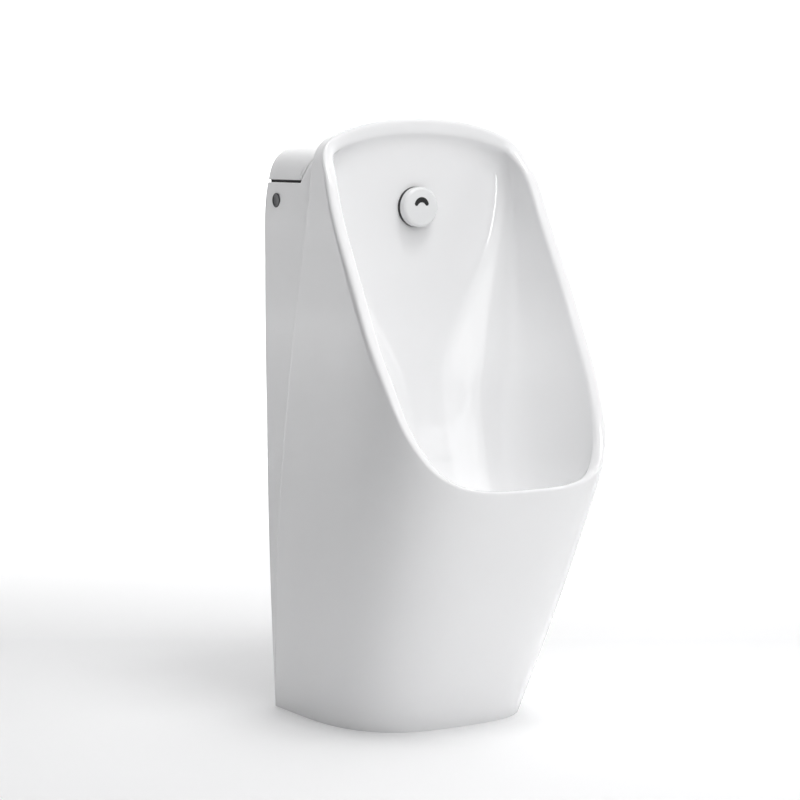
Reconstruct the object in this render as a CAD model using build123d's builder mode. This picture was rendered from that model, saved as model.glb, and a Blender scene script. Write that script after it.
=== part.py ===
from build123d import *

import math
import os

# Floor-standing urinal in glazed ceramic, flushed by a sensor valve behind the bowl.
# Millimetres, +Z up, front towards -Y. The origin is on the floor, midway between the
# wall plane and the foremost point of the lip. A "depth" is measured out from the wall.

HEIGHT = 900.0
DEPTH = 444.0
WALL_Y = DEPTH / 2

# Outer ceramic shape
BASE_HALF_WIDTH = 167.0
BODY_HALF_WIDTH = 190.5
WIDEST_HEIGHT = 660.0
BASE_DEPTH = 266.0
LIP_HEIGHT = 377.0
SIDE_MIDDLE_BASE = 60.0
SIDE_MIDDLE_LIP = 230.0
CORNER_POWER_BASE = 3.0
CORNER_POWER_LIP = 3.2
FRONT_BOW = 0.06
EASE_RANGE = 45.0
CREASE_STEP = 9.0
STEP_FADE_HEIGHT = 450.0
CERAMIC = 12.0

# Top of the hood and of the rear box, seen from the front
HOOD_CROWN = 16.0
HOOD_CORNER = 42.0
BOX_TOP = 868.0
BOX_CROWN = 4.0
BOX_CORNER = 60.0
BOX_HALF_WIDTH = 181.0

# Lid over the valve chamber
DECK_HEIGHT = 804.5
LID_GAP = 3.5
LID_WALL = 10.0
SEAM_DEPTH_LOW = 98.0
SEAM_DEPTH_TOP = 128.0
SEAM_GAP = 1.0

# Side fixing points and the steel bracket behind the body
SCREW_DEPTH = 33.0
SCREW_HEIGHT = 778.0
BRACKET_STEEL = 3.0
LUG_X = 158.0

# Sensor head in the back of the bowl
SENSOR_HEIGHT = 768.0
BOWL_BACK = 137.0
HEAD_RADIUS = 30.0
HEAD_STAND = 19.0
SHANK_HEIGHT = 758.0
SHANK_RADIUS = 10.0
CABLE_HEIGHT = 787.0
CABLE_RADIUS = 2.2

# Flush valve train, right of the middle
VALVE_X = 92.0
VALVE_DEPTH = 46.0
STOP_HEIGHT = 600.0
TUBE_RADIUS = 7.0
TUBE_BORE = 5.0
TUBE_BEND = 20.0

# Control box, left of the middle
CONTROL_X = -88.0
CONTROL_WIDTH = 92.0
CONTROL_DEEP = 44.0
CONTROL_LOW = 655.0
CONTROL_HIGH = 797.0
CASE_WALL = 2.5

# Drain and trap
DRAIN_DEPTH = 290.0
BOWL_BOTTOM = 262.0
DRAIN_HOLE = 27.0
TRAP_RADIUS = 25.0
TRAP_BORE = 22.0
TRAP_BEND = 36.0
TRAP_JOINT = 205.0

os.makedirs("parts", exist_ok=True)


def out(depth):
    """Y of a point at this depth out from the wall."""
    return WALL_Y - depth


def blend(start, end, share):
    return start + (end - start) * min(max(share, 0.0), 1.0)


def save(piece, label):
    """Name a finished piece and write it."""
    piece.part.label = label
    export_step(piece.part, f"parts/{label}.step")


def half_width(height):
    """Widest half-width of the shroud at one height."""
    rise = (WIDEST_HEIGHT - height) / WIDEST_HEIGHT
    return BODY_HALF_WIDTH - (BODY_HALF_WIDTH - BASE_HALF_WIDTH) * abs(rise) ** 2.2


def leaning(height, foot, lip, bow):
    """A depth that grows from the foot to the lip and eases off above it."""
    if height <= LIP_HEIGHT:
        share = height / LIP_HEIGHT
        return foot + (lip - foot) * ((1 + bow) * share - bow * share**2)
    slope = (lip - foot) * (1 - bow) / LIP_HEIGHT
    return lip + slope * EASE_RANGE * (1 - math.exp(-(height - LIP_HEIGHT) / EASE_RANGE))


def front_depth(height):
    """Depth of the plan outline's front at one height."""
    return leaning(height, BASE_DEPTH, DEPTH, FRONT_BOW)


def shroud_points(height, inset):
    """Plan outline at one height, from the right side round the front to the left side."""
    share = height / LIP_HEIGHT
    wide = half_width(height) - inset
    middle = leaning(height, SIDE_MIDDLE_BASE, SIDE_MIDDLE_LIP, 0.0)
    power = blend(CORNER_POWER_BASE, CORNER_POWER_LIP, share)
    reach = front_depth(height) - inset - middle
    points = []
    for degrees in range(0, 181, 15):
        angle = math.radians(degrees)
        across = math.copysign(abs(math.cos(angle)) ** (2 / power), math.cos(angle))
        points.append((wide * across, out(middle + reach * math.sin(angle) ** (2 / power))))
    return points


def shroud_plan(height, inset, rear_half, rear_depth):
    """Closed plan of the shroud: the rounded outline, straight sides and a straight rear."""
    points = shroud_points(height, inset)
    with BuildSketch(Plane.XY.offset(height)) as plan:
        with BuildLine():
            front = Spline(*points, tangents=[(0, -1), (0, 1)])
            Polyline(front @ 1, (-rear_half, out(rear_depth)), (rear_half, out(rear_depth)), front @ 0)
        make_face()
    return plan.sketch


def arch(crown_height, crown_drop, half, corner, foot):
    """Front view of a rounded top: a shallow crown, two corners and straight sides."""
    with BuildSketch(Plane.XZ.offset(-WALL_Y)) as outline:
        with BuildLine():
            shoulder = crown_height - 2.2 * crown_drop
            ThreePointArc((-half, shoulder), (0, crown_height), (half, shoulder))
            Polyline((half, shoulder), (half, foot), (-half, foot), (-half, shoulder))
        make_face()
        fillet(outline.vertices().group_by(Axis.Y)[-1], corner)
    return outline.sketch


# Side views are drawn left of the body and cut right across it
CUT_ACROSS = 2 * BODY_HALF_WIDTH + 20.0
SIDE_PLANE = Plane.YZ.offset(-CUT_ACROSS / 2)

def mouth_edge(set_back):
    """Side view of the opening's edge, from the hood down to the lip and the foot."""
    Polyline((out(148 - set_back), 920), (out(150 - set_back), 868))
    Spline((out(150 - set_back), 868), (out(221 - set_back), 750), tangents=[(-0.1, -1.0), (-0.6, -1.0)])
    ThreePointArc((out(221 - set_back), 750), (out(341.5 - set_back), 540), (out(443 - set_back), 379))
    front = out(DEPTH - set_back)
    Polyline((out(443 - set_back), 379), (front, LIP_HEIGHT), (front, 0), (out(0), 0))


# Shroud: the wide front shell with its hood, cut along the crease and the opening
SECTION_HEIGHTS = (0.0, 60.0, 120.0, 190.0, 260.0, 320.0, LIP_HEIGHT, 450.0, 540.0, 640.0, 760.0, HEIGHT)

with BuildPart() as shroud:
    plans = [shroud_plan(level, 0.0, half_width(level) - CREASE_STEP / 2, 0.0) for level in SECTION_HEIGHTS]
    loft(plans, ruled=True)
    extrude(arch(HEIGHT, HOOD_CROWN, BODY_HALF_WIDTH, HOOD_CORNER, 0.0), DEPTH, mode=Mode.INTERSECT)
    with BuildSketch(SIDE_PLANE) as side_view:
        with BuildLine():
            Spline((out(0), 0), (out(34), 274), (out(89), 540), (out(144), 790))
            Polyline((out(144), 790), (out(142), 920), (out(148), 920))
            mouth_edge(0.0)
        make_face()
    extrude(amount=CUT_ACROSS, mode=Mode.INTERSECT)


def box_half_width(height):
    """Half-width of the rear box at one height."""
    return half_width(height) - CREASE_STEP * min(1.0, height / STEP_FADE_HEIGHT) ** 0.8


def box_plan(height, inset, near, far):
    with BuildSketch(Plane.XY.offset(height)) as plan:
        half = box_half_width(height) - inset
        Polygon((-half, out(near)), (half, out(near)), (half, out(far)), (-half, out(far)), align=None)
    return plan.sketch


# Rear box: the narrower part between the crease and the wall
BOX_REACH = ((0.0, 30.0), (250.0, 60.0), (500.0, 100.0), (700.0, 145.0), (HEIGHT, 150.0))

with BuildPart() as rear_box:
    loft([box_plan(level, 0.0, 0.0, far) for level, far in BOX_REACH], ruled=True)
    extrude(arch(BOX_TOP, BOX_CROWN, BOX_HALF_WIDTH, BOX_CORNER, 0.0), DEPTH, mode=Mode.INTERSECT)


def bowl_plan(height, back_half, back, front_half, front, back_corner, front_corner, growth):
    """Plan of the bowl's hollow at one height: a flat back, sides opening forwards."""
    with BuildSketch(Plane.XY.offset(height)) as plan:
        with BuildLine():
            Polyline(
                (-back_half - growth, out(back - growth)),
                (back_half + growth, out(back - growth)),
                (front_half + growth, out(front + growth)),
                (-front_half - growth, out(front + growth)),
                close=True,
            )
        make_face()
        fillet(plan.vertices().group_by(Axis.Y)[-1], back_corner + growth)
        fillet(plan.vertices().group_by(Axis.Y)[0], front_corner + growth)
    return plan.sketch


# Bowl sections: height, back half-width and depth, front half-width and depth, corner radii
BOWL_FOOT = (BOWL_BOTTOM - CERAMIC, 36.0, 258.0, 40.0, 334.0, 30.0, 34.0)
BOWL = (
    (BOWL_BOTTOM, 36.0, 258.0, 40.0, 334.0, 30.0, 34.0),
    (280.0, 52.0, 246.0, 82.0, 368.0, 38.0, 42.0),
    (305.0, 64.0, 233.0, 116.0, 398.0, 45.0, 54.0),
    (340.0, 76.0, 216.0, 140.0, 417.0, 52.0, 68.0),
    (LIP_HEIGHT, 86.0, 200.0, 154.0, 430.0, 58.0, 80.0),
    (400.0, 90.0, 192.0, 159.0, 432.0, 58.0, 82.0),
    (440.0, 96.0, 178.0, 165.0, 432.0, 58.0, 76.0),
    (520.0, 106.0, 157.0, 170.0, 400.0, 58.0, 40.0),
    (620.0, 126.0, 142.0, 171.0, 335.0, 50.0, 8.0),
    (720.0, 148.0, BOWL_BACK, 171.0, 262.0, 42.0, 8.0),
    (832.0, 162.0, BOWL_BACK, 172.0, 200.0, 30.0, 8.0),
    (852.0, 164.0, 145.0, 172.0, 190.0, 20.0, 8.0),
    (879.0, 166.0, 170.0, 172.0, 200.0, 12.0, 8.0),
)


def bowl_solid(sections, growth):
    with BuildPart() as solid:
        loft([bowl_plan(*section, growth) for section in sections], ruled=True)
    return solid.part


bowl_shell = bowl_solid((BOWL_FOOT,) + BOWL, CERAMIC)

with BuildPart() as bowl_hollow:
    add(bowl_solid(BOWL, 0.0))
    extrude(arch(HEIGHT - 22.0, HOOD_CROWN, 172.0, 32.0, 0.0), DEPTH, mode=Mode.INTERSECT)

# The space between the outer walls and the bowl: open to the wall, the floor and the lid
CHAMBER_TOP = 790.0
CHAMBER_LEVELS = (0.0, 120.0, 250.0, LIP_HEIGHT, 520.0, 680.0, CHAMBER_TOP)
NECK_DEPTH = 86.0
RIM_SOLID = 26.0

with BuildPart() as hollow:
    plans = [shroud_plan(level, CERAMIC, box_half_width(level) - CERAMIC, 0.0) for level in CHAMBER_LEVELS]
    loft(plans, ruled=True)
    add(bowl_shell, mode=Mode.SUBTRACT)
    with BuildSketch(SIDE_PLANE) as behind_rim:
        with BuildLine():
            mouth_edge(RIM_SOLID)
            Polyline((out(0), 0), (out(0), 920), (out(148 - RIM_SOLID), 920))
        make_face()
    extrude(amount=CUT_ACROSS, mode=Mode.INTERSECT)
    with BuildSketch(Plane.XZ.offset(-WALL_Y)) as neck:
        with Locations((0, CHAMBER_TOP)):
            Rectangle(2 * (box_half_width(DECK_HEIGHT) - CERAMIC - 2.0), 60.0)
    extrude(amount=NECK_DEPTH)

SCREW_HOLE = 9.0
CAP_SEAT = 12.0
SHANK_HOLE = 12.0
CABLE_HOLE = 4.5

with BuildPart() as ceramic_body:
    add(shroud.part)
    add(rear_box.part)
    add(hollow.part, mode=Mode.SUBTRACT)
    add(bowl_hollow.part, mode=Mode.SUBTRACT)
    with BuildSketch(SIDE_PLANE) as lid_seat:
        Polygon(
            (out(0), DECK_HEIGHT),
            (out(SEAM_DEPTH_LOW), DECK_HEIGHT),
            (out(SEAM_DEPTH_TOP), BOX_TOP),
            (out(SEAM_DEPTH_TOP), HEIGHT),
            (out(0), HEIGHT),
            align=None,
        )
    extrude(amount=CUT_ACROSS, mode=Mode.SUBTRACT)
    with BuildSketch(SIDE_PLANE) as side_holes:
        with Locations((out(SCREW_DEPTH), SCREW_HEIGHT)):
            Circle(SCREW_HOLE)
    extrude(amount=CUT_ACROSS, mode=Mode.SUBTRACT)
    with BuildSketch(Plane.XZ.offset(-WALL_Y)) as head_holes:
        with Locations((0, SHANK_HEIGHT)):
            Circle(SHANK_HOLE)
        with Locations((0, CABLE_HEIGHT)):
            Circle(CABLE_HOLE)
    extrude(amount=BOWL_BACK + 20, mode=Mode.SUBTRACT)
    with BuildSketch(Plane.XY.offset(BOWL_BOTTOM - 30.0)) as drain_hole:
        with Locations((0, out(DRAIN_DEPTH))):
            Circle(DRAIN_HOLE)
    extrude(amount=40.0, mode=Mode.SUBTRACT)
save(ceramic_body, "ceramic_body")


def facing(depth):
    """Plane parallel to the wall at this depth, facing forwards: its axes are X and Z."""
    return Plane.XZ.offset(-out(depth))


def sideways(across):
    """Plane square to X at this place, facing +X: its axes are Y and Z."""
    return Plane.YZ.offset(across)


# Lid over the valve chamber, hollow underneath
LID_FOOT = DECK_HEIGHT + LID_GAP

with BuildPart() as top_cover:
    add(rear_box.part)
    with BuildSketch(SIDE_PLANE) as lid_side:
        Polygon(
            (out(0), LID_FOOT),
            (out(SEAM_DEPTH_LOW - SEAM_GAP), LID_FOOT),
            (out(SEAM_DEPTH_TOP - SEAM_GAP), BOX_TOP),
            (out(SEAM_DEPTH_TOP - SEAM_GAP), HEIGHT),
            (out(0), HEIGHT),
            align=None,
        )
    extrude(amount=CUT_ACROSS, mode=Mode.INTERSECT)

with BuildPart() as lid_hollow:
    inner_half = BOX_HALF_WIDTH - LID_WALL
    extrude(arch(BOX_TOP - LID_WALL, BOX_CROWN, inner_half, BOX_CORNER - LID_WALL, 0.0), DEPTH)
    with BuildSketch(SIDE_PLANE) as lid_inside:
        Polygon(
            (out(LID_WALL), LID_FOOT),
            (out(SEAM_DEPTH_LOW - LID_WALL - SEAM_GAP), LID_FOOT),
            (out(SEAM_DEPTH_TOP - LID_WALL - SEAM_GAP), BOX_TOP),
            (out(LID_WALL), BOX_TOP),
            align=None,
        )
    extrude(amount=CUT_ACROSS, mode=Mode.INTERSECT)

with BuildPart() as lid:
    add(top_cover.part)
    add(lid_hollow.part, mode=Mode.SUBTRACT)
save(lid, "top_cover")

# Soft pads that carry the lid and keep the slit open
PAD_X = 174.0
PAD_SIZE = (8.0, 16.0)
PAD_DEPTHS = (20.0, 76.0)

with BuildPart() as cover_pads:
    with BuildSketch(Plane.XY.offset(DECK_HEIGHT)):
        with Locations(*[(side * PAD_X, out(depth)) for side in (-1, 1) for depth in PAD_DEPTHS]):
            Rectangle(*PAD_SIZE)
    extrude(amount=LID_GAP)
save(cover_pads, "cover_pads")

# Side fixings: bush, screw, nut and snap cap on each side, in line with the bracket's lugs
WALL_OUTSIDE = box_half_width(SCREW_HEIGHT)
WALL_INSIDE = WALL_OUTSIDE - CERAMIC + 0.7
SCREW_RADIUS = 4.0
SCREW_BORE = 4.1
HEAD_SEAT = WALL_INSIDE + 3.0
SCREW_HEAD = 5.0
NUT_THICKNESS = 6.5
NUT_ACROSS = 13.0
CAP_PLATE = 1.6
SCREW_AXIS = (out(SCREW_DEPTH), SCREW_HEIGHT)


def side_ring(side, start, end, outer, inner):
    """Ring along X on one side's screw axis, between two distances from the middle."""
    with BuildPart() as ring:
        with BuildSketch(sideways(side * start)):
            with Locations(SCREW_AXIS):
                Circle(outer)
                if inner:
                    Circle(inner, mode=Mode.SUBTRACT)
        extrude(amount=side * (end - start))
    return ring.part


with BuildPart() as fixing_bushes:
    for side in (-1, 1):
        add(side_ring(side, LUG_X + BRACKET_STEEL, WALL_INSIDE, 12.0, SCREW_BORE))
        add(side_ring(side, WALL_INSIDE, HEAD_SEAT, SCREW_HOLE - 0.2, SCREW_BORE))
save(fixing_bushes, "fixing_bushes")

with BuildPart() as fixing_screws:
    for side in (-1, 1):
        add(side_ring(side, LUG_X - NUT_THICKNESS - 4.0, HEAD_SEAT, SCREW_RADIUS, 0.0))
        add(side_ring(side, HEAD_SEAT, HEAD_SEAT + SCREW_HEAD, 7.0, 0.0))
        with BuildSketch(sideways(side * (HEAD_SEAT + SCREW_HEAD))):
            with Locations(SCREW_AXIS):
                RegularPolygon(3.4, 6)
        extrude(amount=-3.0 * side, mode=Mode.SUBTRACT)
save(fixing_screws, "fixing_screws")

with BuildPart() as bracket_nuts:
    for side in (-1, 1):
        with BuildSketch(sideways(side * LUG_X)):
            with Locations(SCREW_AXIS):
                RegularPolygon(NUT_ACROSS / 2, 6, major_radius=False)
                Circle(SCREW_BORE, mode=Mode.SUBTRACT)
        extrude(amount=-side * NUT_THICKNESS)
save(bracket_nuts, "bracket_nuts")

for label, side in (("screw_cap_left", -1), ("screw_cap_right", 1)):
    with BuildPart() as screw_cap:
        add(side_ring(side, HEAD_SEAT + SCREW_HEAD + 0.5, WALL_OUTSIDE, SCREW_HOLE - 0.3, SCREW_HOLE - 1.6))
        add(side_ring(side, WALL_OUTSIDE, WALL_OUTSIDE + CAP_PLATE, 11.0, 0.0))
    save(screw_cap, label)

# Steel bracket on the wall behind the body, with a lug at each end for the side screws
PLATE_LOW = 745.0
PLATE_HIGH = 800.0
LUG_DEPTH = 52.0
WALL_HOLE_X = 145.0
WALL_HOLE_HEIGHT = 786.0
WALL_HOLE = 4.5

with BuildPart() as wall_bracket:
    with BuildSketch(facing(0.0)):
        with Locations((0, (PLATE_LOW + PLATE_HIGH) / 2)):
            Rectangle(2 * (LUG_X + BRACKET_STEEL), PLATE_HIGH - PLATE_LOW)
        with Locations((-WALL_HOLE_X, WALL_HOLE_HEIGHT), (WALL_HOLE_X, WALL_HOLE_HEIGHT)):
            Circle(WALL_HOLE, mode=Mode.SUBTRACT)
    extrude(amount=BRACKET_STEEL)
    for start in (-LUG_X - BRACKET_STEEL, LUG_X):
        with BuildSketch(sideways(start)):
            with Locations((out(LUG_DEPTH / 2), SCREW_HEIGHT)):
                RectangleRounded(LUG_DEPTH, 38.0, 8.0)
            with Locations((out(4.0), SCREW_HEIGHT)):
                Rectangle(8.0, 38.0)
            with Locations(SCREW_AXIS):
                Circle(SCREW_BORE, mode=Mode.SUBTRACT)
        extrude(amount=BRACKET_STEEL)
save(wall_bracket, "wall_bracket")


def turned(plane, place, length, outer, inner):
    """Round sleeve or disc of this length on a plane, with a bore where inner is not zero."""
    with BuildPart() as sleeve:
        with BuildSketch(plane):
            with Locations(place):
                Circle(outer)
                if inner:
                    Circle(inner, mode=Mode.SUBTRACT)
        extrude(amount=length)
    return sleeve.part


# Sensor head: cap, crescent window, circuit board, spreader ring, gasket, shank and its nut
SPREADER_RADIUS = 27.0
CAP_BACK = BOWL_BACK + 5.0
CAP_FACE = BOWL_BACK + HEAD_STAND
CAP_WALL = 2.5
WINDOW_RISE = 7.0
WINDOW_OUTER = 15.5
WINDOW_INNER = 13.0
WINDOW_DROP = 8.5
BOARD_DEPTH = CAP_BACK + 8.0
CABLE_NOTCH = CABLE_RADIUS + 0.3


def crescent(margin):
    """Crescent drawn on the cap's face, arched upwards."""
    with BuildSketch(facing(CAP_FACE)) as shape:
        with Locations((0, SENSOR_HEIGHT + WINDOW_RISE - WINDOW_OUTER / 2)):
            Circle(WINDOW_OUTER + margin)
        with Locations((0, SENSOR_HEIGHT + WINDOW_RISE - WINDOW_OUTER / 2 - WINDOW_DROP)):
            Circle(WINDOW_INNER + WINDOW_DROP / 3 - margin, mode=Mode.SUBTRACT)
        with Locations((0, SENSOR_HEIGHT - 3 * WINDOW_OUTER + WINDOW_RISE - margin)):
            Rectangle(4 * WINDOW_OUTER, 4 * WINDOW_OUTER, mode=Mode.SUBTRACT)
    return shape.sketch


HEAD_CENTRE = (0, SENSOR_HEIGHT)

with BuildPart() as sensor_cap:
    add(turned(facing(CAP_BACK), HEAD_CENTRE, CAP_FACE - CAP_BACK, HEAD_RADIUS, 0.0))
    chamfer(sensor_cap.faces().sort_by(Axis.Y)[0].edges(), 3.0)
    with BuildSketch(facing(CAP_BACK)):
        with Locations(HEAD_CENTRE):
            Circle(HEAD_RADIUS - CAP_WALL)
    extrude(amount=CAP_FACE - CAP_BACK - CAP_WALL - 1.5, mode=Mode.SUBTRACT)
    extrude(crescent(0.1), -6.0, mode=Mode.SUBTRACT)
save(sensor_cap, "sensor_cap")

with BuildPart() as sensor_window:
    extrude(crescent(0.0), -3.6)
save(sensor_window, "sensor_window")

with BuildPart() as sensor_board:
    with BuildSketch(facing(BOARD_DEPTH)):
        with Locations(HEAD_CENTRE):
            Circle(HEAD_RADIUS - CAP_WALL - 1.0)
    extrude(amount=1.6)
save(sensor_board, "sensor_board")

SHANK_CENTRE = (0, SHANK_HEIGHT)
CABLE_CENTRE = (0, CABLE_HEIGHT)


def head_disc(start, length, radius, shank_bore, cable_bore):
    """Disc behind the cap, pierced for the shank and for the cable."""
    with BuildPart() as disc:
        with BuildSketch(facing(start)):
            with Locations(HEAD_CENTRE):
                Circle(radius)
            with Locations(SHANK_CENTRE):
                Circle(shank_bore, mode=Mode.SUBTRACT)
            with Locations(CABLE_CENTRE):
                Circle(cable_bore, mode=Mode.SUBTRACT)
        extrude(amount=length)
    return disc.part


GASKET = 1.5
with BuildPart() as head_gasket:
    add(head_disc(BOWL_BACK, GASKET, SPREADER_RADIUS - 2.0, SHANK_RADIUS + 0.1, CABLE_NOTCH))
save(head_gasket, "head_gasket")

with BuildPart() as spreader_ring:
    add(head_disc(BOWL_BACK + GASKET, 7.5, SPREADER_RADIUS, SHANK_RADIUS + 0.1, CABLE_NOTCH))
save(spreader_ring, "spreader_ring")

SHANK_TAIL = 62.0
WASHER_DEPTH = BOWL_BACK - CERAMIC
with BuildPart() as head_shank:
    add(turned(facing(SHANK_TAIL), SHANK_CENTRE, BOWL_BACK + GASKET + 7.5 - SHANK_TAIL, SHANK_RADIUS, 6.0))
save(head_shank, "head_shank")

with BuildPart() as shank_washer:
    add(turned(facing(WASHER_DEPTH - 3.0), SHANK_CENTRE, 3.0, 18.0, SHANK_RADIUS + 0.1))
save(shank_washer, "shank_washer")

with BuildPart() as shank_nut:
    with BuildSketch(facing(WASHER_DEPTH - 13.0)):
        with Locations(SHANK_CENTRE):
            RegularPolygon(15.0, 6, major_radius=False)
            Circle(SHANK_RADIUS + 0.1, mode=Mode.SUBTRACT)
    extrude(amount=10.0)
save(shank_nut, "shank_nut")

# Elbow on the shank's tail, fed from below
ELBOW_FOOT = 738.0
with BuildPart() as head_elbow:
    add(turned(facing(VALVE_DEPTH - 12.0), SHANK_CENTRE, 36.0, 14.0, 0.0))
    add(turned(Plane.XY.offset(ELBOW_FOOT), (0, out(VALVE_DEPTH)), SHANK_HEIGHT - ELBOW_FOOT, 10.5, 0.0))
    add(turned(facing(SHANK_TAIL), SHANK_CENTRE, 9.0, SHANK_RADIUS + 0.1, 0.0), mode=Mode.SUBTRACT)
    add(turned(facing(VALVE_DEPTH), SHANK_CENTRE, 30.0, 6.0, 0.0), mode=Mode.SUBTRACT)
    below = Plane.XY.offset(ELBOW_FOOT)
    add(turned(below, (0, out(VALVE_DEPTH)), SHANK_HEIGHT - ELBOW_FOOT, TUBE_BORE, 0.0), mode=Mode.SUBTRACT)
    add(turned(below, (0, out(VALVE_DEPTH)), 8.0, TUBE_RADIUS + 0.1, 0.0), mode=Mode.SUBTRACT)
save(head_elbow, "head_elbow")

# Flush tube from the valve's outlet to the elbow, in one plane parallel to the wall
OUTLET_HEIGHT = 700.0
VALVE_FACE = VALVE_X - 18.0
with BuildPart() as flush_tube:
    with BuildLine(facing(VALVE_DEPTH)) as route:
        start = (VALVE_FACE, OUTLET_HEIGHT)
        FilletPolyline(start, (0, OUTLET_HEIGHT), (0, ELBOW_FOOT + 8.0), radius=TUBE_BEND)
    with BuildSketch(sideways(VALVE_FACE)):
        with Locations((out(VALVE_DEPTH), OUTLET_HEIGHT)):
            Circle(TUBE_RADIUS)
            Circle(TUBE_BORE, mode=Mode.SUBTRACT)
    sweep(path=route.line)
save(flush_tube, "flush_tube")

# Angle stop valve: brass body on the wall inlet, lever on a spindle facing forwards
VALVE_CENTRE = (VALVE_X, out(VALVE_DEPTH))
STOP_CENTRE = (VALVE_X, STOP_HEIGHT)
STOP_TOP = STOP_HEIGHT + 38.0
INLET_RADIUS = 10.5
INLET_BORE = 7.0
INLET_END = 1.0
INLET_LENGTH = 28.0
INLET_SHOULDER = 14.0
SPINDLE_RADIUS = 4.0
SPINDLE_GAP = 0.06
BOSS_FACE = VALVE_DEPTH + 24.0

with BuildPart() as stop_valve_body:
    add(turned(Plane.XY.offset(STOP_HEIGHT - 17.0), VALVE_CENTRE, 45.0, 15.0, 0.0))
    add(turned(Plane.XY.offset(STOP_HEIGHT), VALVE_CENTRE, STOP_TOP - STOP_HEIGHT, 10.0, 0.0))
    add(turned(facing(INLET_END), STOP_CENTRE, VALVE_DEPTH - INLET_END, INLET_RADIUS, 0.0))
    add(turned(facing(INLET_END + INLET_LENGTH), STOP_CENTRE, 6.0, INLET_SHOULDER, 0.0))
    add(turned(facing(VALVE_DEPTH), STOP_CENTRE, BOSS_FACE - VALVE_DEPTH, 9.0, 0.0))
    add(turned(facing(INLET_END), STOP_CENTRE, VALVE_DEPTH - 9.0, INLET_BORE, 0.0), mode=Mode.SUBTRACT)
    flow = Plane.XY.offset(STOP_HEIGHT + 8.0)
    add(turned(flow, VALVE_CENTRE, STOP_TOP - STOP_HEIGHT, 6.0, 0.0), mode=Mode.SUBTRACT)
    spindle_hole = SPINDLE_RADIUS + SPINDLE_GAP
    add(turned(facing(VALVE_DEPTH), STOP_CENTRE, 30.0, spindle_hole, 0.0), mode=Mode.SUBTRACT)
save(stop_valve_body, "stop_valve_body")

with BuildPart() as stop_handle:
    add(turned(facing(VALVE_DEPTH + 1.0), STOP_CENTRE, BOSS_FACE - VALVE_DEPTH, SPINDLE_RADIUS, 0.0))
    with BuildSketch(facing(BOSS_FACE + 0.5)):
        with Locations(STOP_CENTRE):
            Circle(9.0)
        with Locations((VALVE_X, STOP_HEIGHT - 20.0)):
            SlotOverall(44.0, 11.0, rotation=90)
    extrude(amount=6.0)
save(stop_handle, "stop_handle")

# Union nut and inlet filter between the stop valve and the solenoid valve
FILTER_LOW = STOP_TOP
FILTER_HIGH = 676.0
with BuildPart() as union_nut:
    with BuildSketch(Plane.XY.offset(STOP_TOP - 9.0)):
        with Locations(VALVE_CENTRE):
            RegularPolygon(13.5, 6, major_radius=False)
            Circle(10.1, mode=Mode.SUBTRACT)
    extrude(amount=9.0)
save(union_nut, "union_nut")

with BuildPart() as filter_housing:
    add(turned(Plane.XY.offset(FILTER_LOW), VALVE_CENTRE, FILTER_HIGH - FILTER_LOW, 13.0, 7.5))
save(filter_housing, "filter_housing")

with BuildPart() as filter_mesh:
    add(turned(Plane.XY.offset(FILTER_LOW + 2.0), VALVE_CENTRE, 30.0, 6.2, 5.4))
    add(turned(Plane.XY.offset(FILTER_LOW + 2.0), VALVE_CENTRE, 1.0, 7.4, 0.0))
save(filter_mesh, "filter_mesh")

# Solenoid valve: plastic body, diaphragm, core tube with plunger and spring, coil on top
BODY_TOP = 722.0
BODY_RADIUS = 20.0
SEAT_HEIGHT = 712.0
CORE_TOP = 760.0
CORE_BORE = 4.6
PLUNGER_LOW = SEAT_HEIGHT + 2.5
PLUNGER_LENGTH = 24.0
PLUNGER_RADIUS = 4.5

with BuildPart() as solenoid_body:
    add(turned(Plane.XY.offset(FILTER_HIGH), VALVE_CENTRE, BODY_TOP - FILTER_HIGH, BODY_RADIUS, 0.0))
    with BuildSketch(sideways(VALVE_X - 32.0)):
        with Locations((out(VALVE_DEPTH), OUTLET_HEIGHT)):
            Circle(11.0)
    extrude(amount=32.0)
    outlet_bore = Plane.YZ.offset(VALVE_X - 32.0)
    outlet_axis = (out(VALVE_DEPTH), OUTLET_HEIGHT)
    add(turned(outlet_bore, outlet_axis, 14.0, TUBE_RADIUS + 0.1, 0.0), mode=Mode.SUBTRACT)
    add(turned(outlet_bore, outlet_axis, 28.0, TUBE_BORE, 0.0), mode=Mode.SUBTRACT)
    add(turned(Plane.XY.offset(SEAT_HEIGHT - 2.0), VALVE_CENTRE, 20.0, 14.0, 0.0), mode=Mode.SUBTRACT)
save(solenoid_body, "solenoid_body")

with BuildPart() as valve_diaphragm:
    add(turned(Plane.XY.offset(SEAT_HEIGHT - 2.0), VALVE_CENTRE, 2.0, 13.8, 0.0))
save(valve_diaphragm, "valve_diaphragm")

with BuildPart() as core_tube:
    add(turned(Plane.XY.offset(BODY_TOP - 4.0), VALVE_CENTRE, 4.0, 13.8, CORE_BORE))
    add(turned(Plane.XY.offset(BODY_TOP), VALVE_CENTRE, CORE_TOP - BODY_TOP, CORE_BORE + 1.0, CORE_BORE))
    add(turned(Plane.XY.offset(CORE_TOP), VALVE_CENTRE, 2.0, CORE_BORE + 1.0, 0.0))
save(core_tube, "core_tube")

with BuildPart() as valve_plunger:
    add(turned(Plane.XY.offset(PLUNGER_LOW), VALVE_CENTRE, PLUNGER_LENGTH, PLUNGER_RADIUS, 0.0))
save(valve_plunger, "valve_plunger")

SPRING_FOOT = PLUNGER_LOW + PLUNGER_LENGTH
with BuildPart() as plunger_spring:
    add(turned(Plane.XY.offset(SPRING_FOOT), VALVE_CENTRE, CORE_TOP - SPRING_FOOT, 3.6, 2.8))
save(plunger_spring, "plunger_spring")

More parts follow.
